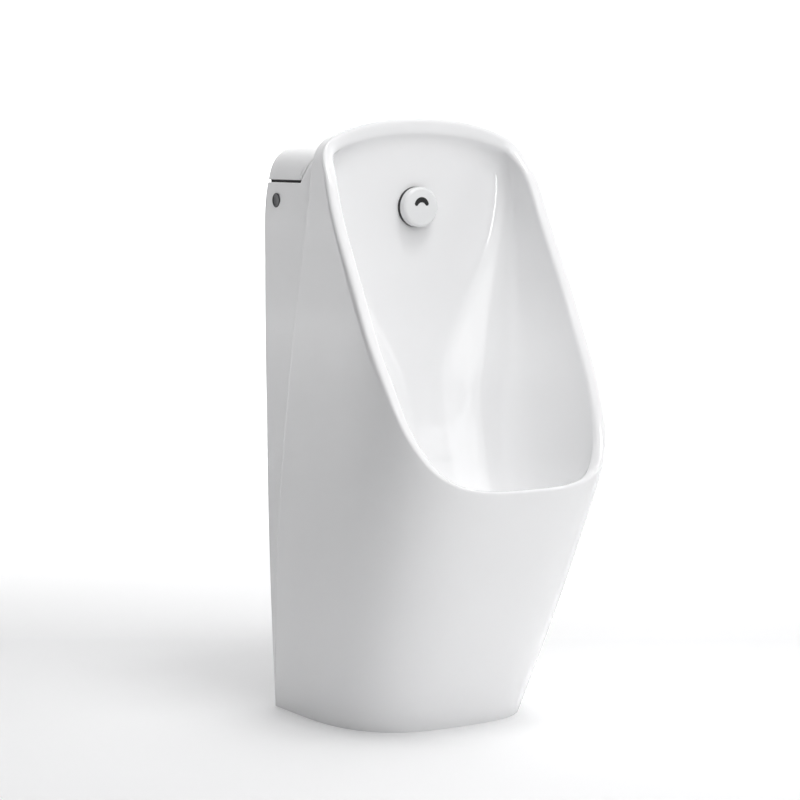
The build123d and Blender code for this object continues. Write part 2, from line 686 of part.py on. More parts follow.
COIL_HALF = 16.0
COIL_LOW = BODY_TOP + 1.0
COIL_HIGH = CORE_TOP - 4.0
with BuildPart() as solenoid_coil:
    with BuildSketch(Plane.XY.offset(COIL_LOW)):
        with Locations(VALVE_CENTRE):
            RectangleRounded(2 * COIL_HALF, 2 * COIL_HALF, 4.0)
            Circle(CORE_BORE + 1.1, mode=Mode.SUBTRACT)
    extrude(amount=COIL_HIGH - COIL_LOW)
save(solenoid_coil, "solenoid_coil")

# Control box hung on the bracket: case, gasket, cover, batteries in their tray, board
CASE_FRONT = BRACKET_STEEL + CONTROL_DEEP
CASE_HEIGHT = CONTROL_HIGH - CONTROL_LOW
CASE_CENTRE = (CONTROL_X, (CONTROL_LOW + CONTROL_HIGH) / 2)
COVER_GASKET = 1.5
CELL_RADIUS = 7.2
CELL_LENGTH = 50.0
CELL_PITCH = 15.0

with BuildPart() as control_case:
    with BuildSketch(facing(BRACKET_STEEL)):
        with Locations(CASE_CENTRE):
            RectangleRounded(CONTROL_WIDTH, CASE_HEIGHT, 8.0)
    extrude(amount=CONTROL_DEEP)
    front_face = control_case.faces().sort_by(Axis.Y)[0]
    offset(amount=-CASE_WALL, openings=front_face)
save(control_case, "control_case")

with BuildPart() as case_gasket:
    with BuildSketch(facing(CASE_FRONT)):
        with Locations(CASE_CENTRE):
            RectangleRounded(CONTROL_WIDTH, CASE_HEIGHT, 8.0)
            gap = 2 * CASE_WALL
            RectangleRounded(CONTROL_WIDTH - gap, CASE_HEIGHT - gap, 5.5, mode=Mode.SUBTRACT)
    extrude(amount=COVER_GASKET)
save(case_gasket, "case_gasket")

with BuildPart() as control_cover:
    with BuildSketch(facing(CASE_FRONT + COVER_GASKET)):
        with Locations(CASE_CENTRE):
            RectangleRounded(CONTROL_WIDTH, CASE_HEIGHT, 8.0)
    extrude(amount=3.0)
save(control_cover, "control_cover")

TRAY_FLOOR = BRACKET_STEEL + CASE_WALL
CELL_FOOT = CONTROL_LOW + CASE_WALL + 6.0
CELL_DEPTH = TRAY_FLOOR + 3.0 + CELL_RADIUS
CELL_PLACES = [(CONTROL_X + CELL_PITCH * (i - 1.5), out(CELL_DEPTH)) for i in range(4)]

with BuildPart() as battery_tray:
    with BuildSketch(facing(TRAY_FLOOR)):
        with Locations((CONTROL_X, CELL_FOOT + CELL_LENGTH / 2)):
            Rectangle(4 * CELL_PITCH + 8.0, CELL_LENGTH + 10.0)
    extrude(amount=14.0)
    with BuildSketch(facing(TRAY_FLOOR + 2.0)):
        with Locations((CONTROL_X, CELL_FOOT + CELL_LENGTH / 2)):
            Rectangle(4 * CELL_PITCH + 3.0, CELL_LENGTH + 4.0)
    extrude(amount=14.0, mode=Mode.SUBTRACT)
save(battery_tray, "battery_tray")

with BuildPart() as batteries:
    with BuildSketch(Plane.XY.offset(CELL_FOOT)):
        with Locations(*CELL_PLACES):
            Circle(CELL_RADIUS)
    extrude(amount=CELL_LENGTH)
    with BuildSketch(Plane.XY.offset(CELL_FOOT + CELL_LENGTH)):
        with Locations(*CELL_PLACES):
            Circle(2.6)
    extrude(amount=1.2)
save(batteries, "batteries")

BOARD_SIZE = (CONTROL_WIDTH - 16.0, 52.0)
with BuildPart() as control_board:
    with BuildSketch(facing(TRAY_FLOOR + 6.0)):
        with Locations((CONTROL_X, CONTROL_HIGH - 38.0)):
            Rectangle(*BOARD_SIZE)
    extrude(amount=1.6)
save(control_board, "control_board")

with BuildPart() as board_posts:
    with BuildSketch(facing(TRAY_FLOOR)):
        with Locations((CONTROL_X, CONTROL_HIGH - 38.0)):
            with GridLocations(BOARD_SIZE[0] - 10.0, BOARD_SIZE[1] - 10.0, 2, 2):
                Circle(2.5)
    extrude(amount=6.0)
save(board_posts, "board_posts")

# Cables, both held at their ends: sensor head to case, and case to coil
CASE_SIDE = CONTROL_X + CONTROL_WIDTH / 2
CABLE_ENTRY = 37.0
CABLE_BEND = 25.0
HEAD_END = BOWL_BACK + GASKET + 7.5

with BuildPart() as sensor_cable:
    with BuildLine(Plane.XY.offset(CABLE_HEIGHT)) as cable_route:
        corner = (0, out(CABLE_ENTRY))
        FilletPolyline((0, out(HEAD_END)), corner, (CASE_SIDE, out(CABLE_ENTRY)), radius=CABLE_BEND)
    with BuildSketch(facing(HEAD_END)):
        with Locations(CABLE_CENTRE):
            Circle(CABLE_RADIUS)
    sweep(path=cable_route.line)
save(sensor_cable, "sensor_cable")

COIL_CABLE_AXIS = (out(35.0), 728.0)
with BuildPart() as valve_cable:
    with BuildSketch(sideways(CASE_SIDE)):
        with Locations(COIL_CABLE_AXIS):
            Circle(CABLE_RADIUS)
    extrude(amount=VALVE_X - COIL_HALF - CASE_SIDE)
save(valve_cable, "valve_cable")

# Drain: flanged tail through the bowl's floor, seal and nut below, strainer on top
DRAIN_CENTRE = (0, out(DRAIN_DEPTH))
FLANGE_RADIUS = 32.0
FLANGE = 2.0
STRAINER = 3.0
BOWL_UNDER = BOWL_BOTTOM - CERAMIC

with BuildPart() as drain_tail:
    tail = BOWL_BOTTOM - TRAP_JOINT
    add(turned(Plane.XY.offset(TRAP_JOINT), DRAIN_CENTRE, tail, TRAP_RADIUS, TRAP_BORE))
    add(turned(Plane.XY.offset(BOWL_BOTTOM), DRAIN_CENTRE, FLANGE, FLANGE_RADIUS, TRAP_BORE))
save(drain_tail, "drain_tail")

with BuildPart() as drain_strainer:
    with BuildSketch(Plane.XY.offset(BOWL_BOTTOM + FLANGE)):
        with Locations(DRAIN_CENTRE):
            Circle(FLANGE_RADIUS - 2.0)
            with PolarLocations(14.0, 8):
                Circle(3.4, mode=Mode.SUBTRACT)
            with PolarLocations(23.5, 12):
                Circle(3.4, mode=Mode.SUBTRACT)
            Circle(4.0, mode=Mode.SUBTRACT)
    extrude(amount=STRAINER)
    add(turned(Plane.XY.offset(BOWL_BOTTOM - 5.0), DRAIN_CENTRE, 7.0, TRAP_BORE - 0.6, TRAP_BORE - 2.6))
save(drain_strainer, "drain_strainer")

with BuildPart() as drain_seal:
    add(turned(Plane.XY.offset(BOWL_UNDER - 5.0), DRAIN_CENTRE, 5.0, 38.0, TRAP_RADIUS + 0.1))
save(drain_seal, "drain_seal")

with BuildPart() as drain_nut:
    with BuildSketch(Plane.XY.offset(BOWL_UNDER - 15.0)):
        with Locations(DRAIN_CENTRE):
            RegularPolygon(36.0, 8, major_radius=False)
            Circle(TRAP_RADIUS + 0.1, mode=Mode.SUBTRACT)
    extrude(amount=10.0)
save(drain_nut, "drain_nut")

with BuildPart() as trap_coupling:
    add(turned(Plane.XY.offset(TRAP_JOINT - 12.0), DRAIN_CENTRE, 24.0, TRAP_RADIUS + 5.0, TRAP_RADIUS + 0.1))
save(trap_coupling, "trap_coupling")

# Trap: down, round under the water seal, up, over and down to the floor socket
TRAP_TOP = TRAP_JOINT - 15.0
TRAP_FOOT = 3.0
SECOND_DEPTH = DRAIN_DEPTH - 2 * TRAP_BEND
OUTLET_DEPTH = DRAIN_DEPTH - 4 * TRAP_BEND

with BuildPart() as trap_pipe:
    with BuildLine(Plane.YZ) as trap_route:
        Line((out(DRAIN_DEPTH), TRAP_JOINT), (out(DRAIN_DEPTH), TRAP_TOP))
        dip = (out(DRAIN_DEPTH - TRAP_BEND), TRAP_TOP - TRAP_BEND)
        ThreePointArc((out(DRAIN_DEPTH), TRAP_TOP), dip, (out(SECOND_DEPTH), TRAP_TOP))
        crest = (out(SECOND_DEPTH - TRAP_BEND), TRAP_TOP + TRAP_BEND)
        ThreePointArc((out(SECOND_DEPTH), TRAP_TOP), crest, (out(OUTLET_DEPTH), TRAP_TOP))
        Line((out(OUTLET_DEPTH), TRAP_TOP), (out(OUTLET_DEPTH), TRAP_FOOT))
    with BuildSketch(Plane.XY.offset(TRAP_JOINT)):
        with Locations(DRAIN_CENTRE):
            Circle(TRAP_RADIUS)
            Circle(TRAP_BORE, mode=Mode.SUBTRACT)
    sweep(path=trap_route.line)
save(trap_pipe, "trap_pipe")

OUTLET_CENTRE = (0, out(OUTLET_DEPTH))
SEAL_TOP = 14.0
with BuildPart() as floor_seal:
    add(turned(Plane.XY.offset(1.0), OUTLET_CENTRE, SEAL_TOP - 1.0, TRAP_RADIUS + 10.0, TRAP_RADIUS + 0.1))
save(floor_seal, "floor_seal")

with BuildPart() as floor_collar:
    add(turned(Plane.XY.offset(SEAL_TOP), OUTLET_CENTRE, 4.0, TRAP_RADIUS + 20.0, TRAP_RADIUS + 0.1))
    add(turned(Plane.XY, OUTLET_CENTRE, SEAL_TOP, TRAP_RADIUS + 20.0, TRAP_RADIUS + 10.2))
save(floor_collar, "floor_collar")
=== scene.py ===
import math

import bmesh
import bpy
import numpy as np
from mathutils import Euler, Matrix, Vector


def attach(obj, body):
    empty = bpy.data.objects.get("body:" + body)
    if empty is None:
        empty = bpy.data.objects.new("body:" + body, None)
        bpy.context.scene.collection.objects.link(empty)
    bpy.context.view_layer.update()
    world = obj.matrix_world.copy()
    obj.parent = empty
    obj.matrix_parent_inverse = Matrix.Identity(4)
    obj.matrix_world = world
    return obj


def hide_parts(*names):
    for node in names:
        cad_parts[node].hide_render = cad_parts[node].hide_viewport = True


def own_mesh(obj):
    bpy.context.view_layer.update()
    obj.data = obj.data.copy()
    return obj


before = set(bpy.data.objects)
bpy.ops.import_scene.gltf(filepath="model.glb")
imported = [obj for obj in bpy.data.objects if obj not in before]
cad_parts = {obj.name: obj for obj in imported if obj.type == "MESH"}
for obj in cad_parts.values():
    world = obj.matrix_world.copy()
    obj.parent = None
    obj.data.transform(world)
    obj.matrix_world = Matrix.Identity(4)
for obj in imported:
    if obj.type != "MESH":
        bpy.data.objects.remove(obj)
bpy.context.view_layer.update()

# Shapes are worked out in millimetres as (across, depth, height): across is X, depth is
# the distance out from the wall and height is Z. The frame has metres and front at -Y.
WALL_Y = 222.0
MM = 0.001


def to_frame(points):
    p = np.asarray(points, float)
    return np.stack([p[..., 0], WALL_Y - p[..., 1], p[..., 2]], -1) * MM


def natural_spline(knots, values):
    """Natural cubic curve through values at rising knots, as a function of the knot."""
    x = np.asarray(knots, float)
    y = np.asarray(values, float)
    flat = y.ndim == 1
    y = y.reshape(len(x), -1)
    gap = np.diff(x)
    system = np.eye(len(x))
    right = np.zeros_like(y)
    for i in range(1, len(x) - 1):
        system[i, i - 1 : i + 2] = gap[i - 1], 2 * (gap[i - 1] + gap[i]), gap[i]
        right[i] = 6 * ((y[i + 1] - y[i]) / gap[i] - (y[i] - y[i - 1]) / gap[i - 1])
    bend = np.linalg.solve(system, right)

    def at(place):
        t = np.atleast_1d(np.asarray(place, float))
        i = np.clip(np.searchsorted(x, t) - 1, 0, len(gap) - 1)
        a = ((x[i + 1] - t) / gap[i])[:, None]
        b = ((t - x[i]) / gap[i])[:, None]
        curve = (a**3 - a) * bend[i] + (b**3 - b) * bend[i + 1]
        out = a * y[i] + b * y[i + 1] + curve * gap[i][:, None] ** 2 / 6
        return out[:, 0] if flat else out

    return at


def lengths(path):
    """Distance along a polyline at each of its points."""
    steps = np.linalg.norm(np.diff(path, axis=0), axis=1)
    return np.concatenate([[0.0], np.cumsum(steps)])


def respaced(path, shares):
    """Points of a polyline at these shares of its length."""
    walked = lengths(path)
    places = np.asarray(shares) * walked[-1]
    return np.stack([np.interp(places, walked, path[:, k]) for k in range(path.shape[1])], -1)


def eased(share):
    t = np.clip(share, 0.0, 1.0)
    return t * t * (3 - 2 * t)


def bezier(start, start_pull, end_pull, end, count):
    """Cubic curve between two points, with a pull vector at each."""
    t = np.linspace(0, 1, count)[:, None]
    a, b = start + start_pull, end + end_pull
    return (1 - t) ** 3 * start + 3 * (1 - t) ** 2 * t * a + 3 * (1 - t) * t**2 * b + t**3 * end


# Outer shape of the ceramic, in the same terms as the solids
BASE_HALF_WIDTH = 167.0
BODY_HALF_WIDTH = 190.4
WIDEST_HEIGHT = 660.0
BASE_DEPTH = 266.0
LIP_DEPTH = 445.8
LIP_HEIGHT = 377.0
SIDE_MIDDLE_BASE = 60.0
SIDE_MIDDLE_LIP = 230.0
CORNER_POWER_BASE = 3.0
CORNER_POWER_LIP = 3.2
FRONT_BOW = 0.06
EASE_RANGE = 45.0
CREASE_STEP = 9.0
STEP_FADE_HEIGHT = 450.0
DECK_HEIGHT = 804.5
LID_FOOT = 808.9
SEAM_DEPTH_LOW = 98.0
SEAM_DEPTH_TOP = 128.0
BOX_TOP = 868.0
DRAIN_DEPTH = 290.0
DRAIN_HOLE = 27.0
BOWL_BOTTOM = 262.0


def half_width(height):
    rise = np.abs((WIDEST_HEIGHT - height) / WIDEST_HEIGHT)
    return BODY_HALF_WIDTH - (BODY_HALF_WIDTH - BASE_HALF_WIDTH) * rise**2.2


def leaning(height, foot, lip, bow):
    """A depth that grows from the foot to the lip and eases off above it."""
    share = height / LIP_HEIGHT
    if share <= 1.0:
        return foot + (lip - foot) * ((1 + bow) * share - bow * share**2)
    slope = (lip - foot) * (1 - bow) / LIP_HEIGHT
    return lip + slope * EASE_RANGE * (1 - math.exp((LIP_HEIGHT - height) / EASE_RANGE))


def front_depth(height):
    return leaning(height, BASE_DEPTH, LIP_DEPTH, FRONT_BOW)


def side_middle(height):
    return leaning(height, SIDE_MIDDLE_BASE, SIDE_MIDDLE_LIP, 0.0)


def step(height):
    """How far the shroud stands proud of the rear box."""
    return CREASE_STEP * np.minimum(1.0, height / STEP_FADE_HEIGHT) ** 0.8


# Front outline from the crown down: shroud (across, height), depth of the opening's edge
# there, and the rear box (across, height) behind it
HOOD = (
    (0.0, 899.7, 150.0, 0.0, 868.0),
    (45.0, 898.2, 150.5, 43.5, 867.7),
    (90.0, 892.5, 152.0, 84.8, 866.2),
    (130.0, 882.0, 154.5, 123.0, 861.6),
    (155.0, 871.5, 157.5, 145.0, 853.6),
    (172.0, 857.5, 162.5, 158.0, 844.5),
    (181.0, 840.0, 173.5, 167.5, 831.5),
    (185.8, 818.0, 188.5, 173.5, 812.0),
    (188.8, 790.0, 203.0, 178.2, 788.0),
    (190.2, 750.0, 221.5, 181.2, 750.0),
)
# Depth of the opening's edge down to the lip
MOUTH = ((700, 249.5), (640, 283.5), (580, 316.0), (520, 353.0), (470, 381.5), (430, 407.0), (400, 428.0),
         (387, 438.0), (LIP_HEIGHT, LIP_DEPTH))
LOWER_HEIGHTS = (340.0, 290.0, 240.0, 190.0, 140.0, 90.0, 45.0, 0.0)

stations = [(-HOOD[1][0], HOOD[1][1], -HOOD[1][3], HOOD[1][4])]
stations += [(x, z, box_x, box_z) for x, z, _, box_x, box_z in HOOD]
for level in [z for z, _ in MOUTH] + list(LOWER_HEIGHTS):
    wide = float(half_width(level))
    stations.append((wide, level, wide - float(step(level)), level))
stations = np.array(stations)
places = lengths(stations[:, :2])
places -= places[1]
outline = natural_spline(places, stations)
mouth_depths = [HOOD[1][2]] + [row[2] for row in HOOD] + [depth for _, depth in MOUTH]
mouth_depth = natural_spline(places[: len(mouth_depths)], mouth_depths)
LIP_PLACE = places[len(mouth_depths) - 1]
FOOT_PLACE = places[-1]

crease_depth = natural_spline(
    (0.0, 137.0, 274.0, 407.0, 540.0, 690.0, 760.0, 792.0, 830.0, 865.0, 900.0),
    (0.0, 14.5, 34.0, 58.0, 86.5, 122.0, 139.0, 143.5, 142.0, 138.0, 133.5),
)


def side_taper(height):
    """Share of its width that the shroud loses from its widest place back to the wall."""
    return 0.5 * step(height) / BODY_HALF_WIDTH


def plan_curve(place, count=1200):
    """The shroud's plan outline at one place down the front outline, wall to front centre."""
    wide, height = outline(place)[0, :2]
    middle, front = side_middle(height), front_depth(height)
    power = CORNER_POWER_BASE + (CORNER_POWER_LIP - CORNER_POWER_BASE) * min(1.0, height / LIP_HEIGHT)
    straight = np.linspace(0, middle, count // 3)[:-1]
    angles = np.linspace(0, math.pi / 2, count - len(straight))
    across = wide * np.cos(angles) ** (2 / power)
    across[-1] = 0.0
    depth = middle + (front - middle) * np.sin(angles) ** (2 / power)
    side = wide * (1 - side_taper(max(height, 0.0)) * (middle - straight) / middle)
    return np.stack([np.concatenate([side, across]), np.concatenate([straight, depth])], -1)


def share_of(curve, across, depth):
    """Share of a plan curve's length at its point nearest to (across, depth)."""
    walked = lengths(curve)
    start, along = curve[:-1], np.diff(curve, axis=0)
    to_point = np.array([across, depth]) - start
    t = np.clip((to_point * along).sum(1) / np.maximum((along**2).sum(1), 1e-12), 0, 1)
    off = ((to_point - along * t[:, None]) ** 2).sum(1)
    best = int(np.argmin(off))
    return (walked[best] + t[best] * (walked[best + 1] - walked[best])) / walked[-1]


# Outer surface as a table: rows down the front outline, columns along the plan curve
TABLE_ROWS = 500
TABLE_COLUMNS = 600
table_places = np.linspace(0, FOOT_PLACE, TABLE_ROWS)
table_shares = np.linspace(0, 1, TABLE_COLUMNS)
outer_table = np.stack([respaced(plan_curve(place), table_shares) for place in table_places])


def blended(table, rows, columns, row_values, column_values):
    """Bilinear look-up in a table whose rows and columns rise evenly or not."""
    i = np.clip(np.searchsorted(row_values, rows) - 1, 0, len(row_values) - 2)
    j = np.clip(np.searchsorted(column_values, columns) - 1, 0, len(column_values) - 2)
    a = np.clip((rows - row_values[i]) / (row_values[i + 1] - row_values[i]), 0, 1)
    b = np.clip((columns - column_values[j]) / (column_values[j + 1] - column_values[j]), 0, 1)
    if table.ndim == 3:
        a, b = a[:, None], b[:, None]
    near = table[i, j] * (1 - b) + table[i, j + 1] * b
    far = table[i + 1, j] * (1 - b) + table[i + 1, j + 1] * b
    return near * (1 - a) + far * a


def outer_points(place, share):
    flat = blended(outer_table, place, share, table_places, table_shares)
    return np.column_stack([flat, outline(place)[:, 1]])


# Rim: where the outer sheet stops and the rounded roll begins
NOSE = 6.0
HOOD_NOSE = 4.6
LIP_NOSE = 6.0
ROLL_HOOD = 24.0
ROLL_SIDE = 20.0
ROLL_LIP = 13.0
RIM_COUNT = 172


def lip_share(place):
    """0 on the sides of the opening, rising to 1 at the middle of the lip."""
    return eased((place - (LIP_PLACE - 55.0)) / 55.0)


def nose(place):
    """How far the roll bulges past its two edges."""
    return HOOD_NOSE + (NOSE - HOOD_NOSE) * eased((place - 150.0) / 80.0)


def rim_edge(place):
    """Outer edge of the roll: (place on the front outline, across, depth, height)."""
    lowered = lip_share(place)
    down = place + LIP_NOSE * lowered
    height = outline(down)[:, 1]
    wide = outline(down)[:, 0]
    end_drop = LIP_DEPTH - front_depth(LIP_HEIGHT - LIP_NOSE)
    depth = mouth_depth(place) - nose(place) * (1 - lowered) - end_drop * lowered
    across = np.empty_like(depth)
    for k, (z, d) in enumerate(zip(height, depth)):
        middle, front = side_middle(z), front_depth(z)
        power = CORNER_POWER_BASE + (CORNER_POWER_LIP - CORNER_POWER_BASE) * min(1.0, z / LIP_HEIGHT)
        if d <= middle:
            across[k] = wide[k] * (1 - side_taper(z) * (middle - d) / middle)
        else:
            bulge = min(1.0, (d - middle) / (front - middle))
            across[k] = wide[k] * (1 - bulge**power) ** (1 / power)
    return down, np.column_stack([across, depth, height])


dense = LIP_PLACE * (1 - (1 - np.linspace(0, 1, 4000)) ** 5)
dense_down, dense_rim = rim_edge(dense)
dense_rim[-1, 0] = 0.0
rim_walk = lengths(dense_rim)
rim_shares = np.linspace(0, 1, RIM_COUNT)
rim_lengths = rim_shares * rim_walk[-1]
rim_place = np.interp(rim_lengths, rim_walk, dense)
rim_down = np.interp(rim_lengths, rim_walk, dense_down)
rim_outer = np.stack([np.interp(rim_lengths, rim_walk, dense_rim[:, k]) for k in range(3)], -1)


def outline_normal(place):
    """Outward normal of the front outline, as (across, height)."""
    ahead, behind = outline(place + 0.5)[:, :2], outline(place - 0.5)[:, :2]
    run = ahead - behind
    run /= np.linalg.norm(run, axis=1)[:, None]
    return np.column_stack([-run[:, 1], run[:, 0]])


# Bowl: back wall depth, how far the back corners stay out, and their radius, by height
BACK_HEIGHTS = (340.0, 371.0, 400.0, 440.0, 480.0, 520.0, 560.0, 620.0, 662.0, 715.0, 776.0, 832.0, 862.0, 876.0)
BACK_DEPTHS = (216.0, 202.0, 192.0, 178.0, 166.5, 157.0, 149.5, 142.0, 139.3, 137.3, 136.8, 136.5, 137.0, 138.0)
CORNER_OUT = (0.54, 0.55, 0.56, 0.57, 0.585, 0.62, 0.69, 0.8, 0.87, 0.94, 0.98, 0.99, 0.995, 1.0)
CORNER_RADII = (76.0, 84.0, 88.0, 90.0, 90.0, 88.0, 82.0, 66.0, 52.0, 38.0, 27.0, 20.0, 14.0, 8.0)
back_depth = natural_spline(BACK_HEIGHTS, BACK_DEPTHS)
corner_out = natural_spline(BACK_HEIGHTS, CORNER_OUT)
corner_radius = natural_spline(BACK_HEIGHTS, CORNER_RADII)
# Bowl floor: height, half-width, front, middle, corner share, back depth and radius
FLOOR = (
    (400.0, 167.4, 440.9, 238.1, 0.56, 192.0, 88.0),
    (371.0, 166.6, 430.1, 227.3, 0.55, 202.0, 84.0),
    (340.0, 156.0, 417.5, 229.0, 0.54, 216.0, 76.0),
    (310.0, 136.0, 401.0, 240.0, 0.545, 230.0, 64.0),
    (288.0, 111.0, 382.0, 256.0, 0.57, 241.0, 52.0),
    (273.0, 86.0, 362.0, 272.0, 0.62, 249.0, 40.0),
    (265.0, 63.0, 344.0, 286.0, 0.72, 254.0, 33.0),
    (262.6, 48.0, 334.0, 289.0, 0.84, 257.0, 30.0),
    (262.1, 38.0, 328.0, 290.0, 0.94, 258.5, 28.0),
)
POLAR_COUNT = 900
polar_angles = np.linspace(0, math.pi, POLAR_COUNT)
ROLL_TURN = math.radians(35.0)


def bowl_radii(front_curve, end_depth, rear, corner_share, radius):
    """Distance from the drain's axis to the bowl's plan at each polar angle, front to back."""
    x, d = front_curve[:, 0], front_curve[:, 1]
    reach = max(end_depth - rear, 0.5)
    wide = np.interp(rear, d[::-1], x[::-1])
    corner = wide * corner_share
    x = x - (wide - corner) * np.clip((end_depth - d) / reach, 0, 1)
    turn = min(radius, 0.8 * reach)
    along = min(radius, 0.85 * corner)
    keep = d > rear + turn
    side = np.stack([x[keep], d[keep]], -1)
    start = np.array([np.interp(rear + turn, d[::-1], x[::-1]), rear + turn])
    end = np.array([corner - along, rear])
    peak = np.array([corner, rear])
    fillet = bezier(start, (peak - start) * 0.62, (peak - end) * 0.62, end, 30)
    back = np.linspace(end, (0.0, rear), 20)[1:]
    loop = np.concatenate([side, fillet, back])
    angle = np.maximum.accumulate(np.arctan2(loop[:, 0], loop[:, 1] - DRAIN_DEPTH))
    return np.interp(polar_angles, angle, np.linalg.norm(loop - (0.0, DRAIN_DEPTH), axis=1))


def inset_curve(place, margin):
    """Front part of the plan curve, moved inwards, from the front centre to the wall."""
    curve = plan_curve(place, 700)
    run = np.gradient(curve, axis=0)
    run /= np.linalg.norm(run, axis=1)[:, None]
    turned = np.arctan2(-run[:, 0], run[:, 1])
    inward = np.column_stack([-run[:, 1], run[:, 0]])
    thin = margin - (ROLL_SIDE - ROLL_LIP) * eased((turned - ROLL_TURN) / (math.pi / 2 - ROLL_TURN))
    moved = curve + inward * thin[:, None]
    moved[-1, 0] = 0.0
    return np.maximum(moved, (0.0, -1e9))[::-1]


def roll_width(place):
    return ROLL_SIDE + (ROLL_HOOD - ROLL_SIDE) * (1 - eased((place - 60.0) / 180.0))


def inner_edge(place, down, edge):
    """Inner edge of the roll opposite each point of its outer edge."""
    normal = outline_normal(down)
    lift = np.maximum(normal[:, 1], 0.0)
    flat = np.sqrt(1 - lift**2)
    out = []
    for k in range(len(place)):
        curve = plan_curve(down[k], 700)
        share = share_of(curve, edge[k, 0], edge[k, 1])
        near = respaced(curve, (max(share - 2e-3, 0.0), min(share + 2e-3, 1.0)))
        run = near[1] - near[0]
        run /= np.linalg.norm(run)
        turned = math.atan2(-run[0], run[1])
        width = roll_width(place[k])
        width -= (ROLL_SIDE - ROLL_LIP) * float(eased((turned - ROLL_TURN) / (math.pi / 2 - ROLL_TURN)))
        inward = np.array([-run[1] * flat[k], run[0] * flat[k], -lift[k]])
        out.append(edge[k] + inward * width)
    return np.array(out)


rim_inner = inner_edge(rim_place, rim_down, rim_outer)
rim_inner[0, 0] = rim_inner[-1, 0] = 0.0

# Inner surface as a table of polar radii, level by level from the hood down to the drain
level_place = LIP_PLACE * np.linspace(0, 1, 420)
level_down, level_edge = rim_edge(level_place)
level_normal = outline_normal(level_down)
level_inner = inner_edge(level_place, level_down, level_edge)
bowl_levels, bowl_rows = [], []
for place, down, edge, inner, normal in zip(level_place, level_down, level_edge, level_inner, level_normal):
    width = float(roll_width(place))
    lift = max(normal[1], 0.0)
    height = edge[2] - width * lift
    curve = inset_curve(down, width * math.sqrt(1 - lift**2))
    rear = float(back_depth(height)[0])
    share = float(corner_out(height)[0])
    bowl_rows.append(bowl_radii(curve, inner[1], rear, share, float(corner_radius(height)[0])))
    bowl_levels.append(height)
last_curve = curve
last_wide, last_front = curve[:, 0].max(), curve[0, 1]
last_middle = side_middle(bowl_levels[-1])
floor_places = lengths(np.array(FLOOR)[:, :2])
floor_curve = natural_spline(floor_places, FLOOR)
for place in np.linspace(floor_places[1], floor_places[-1], 200)[1:]:
    height, wide, front, middle, share, rear, radius = floor_curve(place)[0]
    x = last_curve[:, 0] * wide / last_wide
    scale = np.where(last_curve[:, 1] > last_middle, (front - middle) / (last_front - last_middle), 1.0)
    d = middle + (last_curve[:, 1] - last_middle) * scale
    bowl_rows.append(bowl_radii(np.stack([x, d], -1), front, rear, share, radius))
    bowl_levels.append(height)
bowl_levels = np.array(bowl_levels)
order = np.argsort(bowl_levels)
bowl_levels = bowl_levels[order] + np.arange(len(order)) * 1e-9
bowl_table = np.array(bowl_rows)[order]


def bowl_points(angle, height):
    radius = blended(bowl_table, height, angle, bowl_levels, polar_angles)
    return np.column_stack([radius * np.sin(angle), DRAIN_DEPTH + radius * np.cos(angle), height])


# The whole right half of the sheet as grids of points
BOWL_ROWS = 54
OUTER_ROWS = 40
ROLL_ROWS = 11


COVE_FULL = 24
COVE_END = 40
COVE_DROP = 36.0
COVE_PULL = (6.5, 16.0)


def cove(edge, angle):
    """Path from the rim swept in one soft curve back into the wall, and on down the bowl."""
    level = np.array([edge[2] - COVE_DROP, edge[2] - COVE_DROP - 4.0])
    foot, below = bowl_points(np.full(2, angle), level)
    rise = (foot - below) / np.linalg.norm(foot - below)
    sweep = bezier(edge, np.array([0.0, -COVE_PULL[0], -COVE_PULL[0]]), rise * COVE_PULL[1], foot, 60)
    height = level[0] + (bowl_levels[0] - level[0]) * np.linspace(0, 1, 260)[1:] ** 1.3
    return np.concatenate([sweep, bowl_points(np.full_like(height, angle), height)])


def bowl_grid():
    shares = np.linspace(0, 1, BOWL_ROWS) ** 1.25
    rows = []
    for k, edge in enumerate(rim_inner):
        angle = math.atan2(edge[0], edge[1] - DRAIN_DEPTH)
        weight = 1 - float(eased((k - COVE_FULL) / (COVE_END - COVE_FULL)))
        row = np.zeros((BOWL_ROWS, 3))
        if weight > 0:
            row += respaced(cove(edge, angle), shares) * weight
        if weight < 1:
            height = edge[2] + (bowl_levels[0] - edge[2]) * np.linspace(0, 1, 260) ** 1.7
            path = bowl_points(np.full_like(height, angle), height)
            path[0] = edge
            row += respaced(path, shares) * (1 - weight)
        rows.append(row)
    return np.array(rows)


def drain_grid(bowl):
    """From the bowl's last row to the drain hole and down through it."""
    last = bowl[:, -1]
    offset = last[:, :2] - (0.0, DRAIN_DEPTH)
    circle = offset / np.linalg.norm(offset, axis=1)[:, None] * DRAIN_HOLE + (0.0, DRAIN_DEPTH)
    rows = [last]
    for share in (0.35, 0.7, 1.0):
        flat = last[:, :2] * (1 - share) + circle * share
        rows.append(np.column_stack([flat, last[:, 2] + (BOWL_BOTTOM - last[:, 2]) * share]))
    for height in (BOWL_BOTTOM - 3.0, BOWL_BOTTOM - 11.0):
        rows.append(np.column_stack([circle, np.full(len(circle), height)]))
    return np.stack(rows, 1)


# Where each rim point's line ends on the crease or on the foot
HOOD_INDEX = int(np.searchsorted(rim_place, 172.0))
DECK_PLACE = float(np.interp(-DECK_HEIGHT, -outline(table_places)[:, 3], table_places))
EDGE_ROUND = 1.8


def crease_share(place):
    """Share of the plan curve where the shroud's rear edge starts to turn in."""
    height = outline(place)[:, 1]
    target = crease_depth(height) + np.minimum(EDGE_ROUND, 0.6 * step(np.maximum(height, 0.0)))
    out = []
    for p, d in zip(np.atleast_1d(place), target):
        curve = plan_curve(p, 700)
        out.append(np.interp(d, curve[:, 1], lengths(curve)) / lengths(curve)[-1])
    return np.array(out)


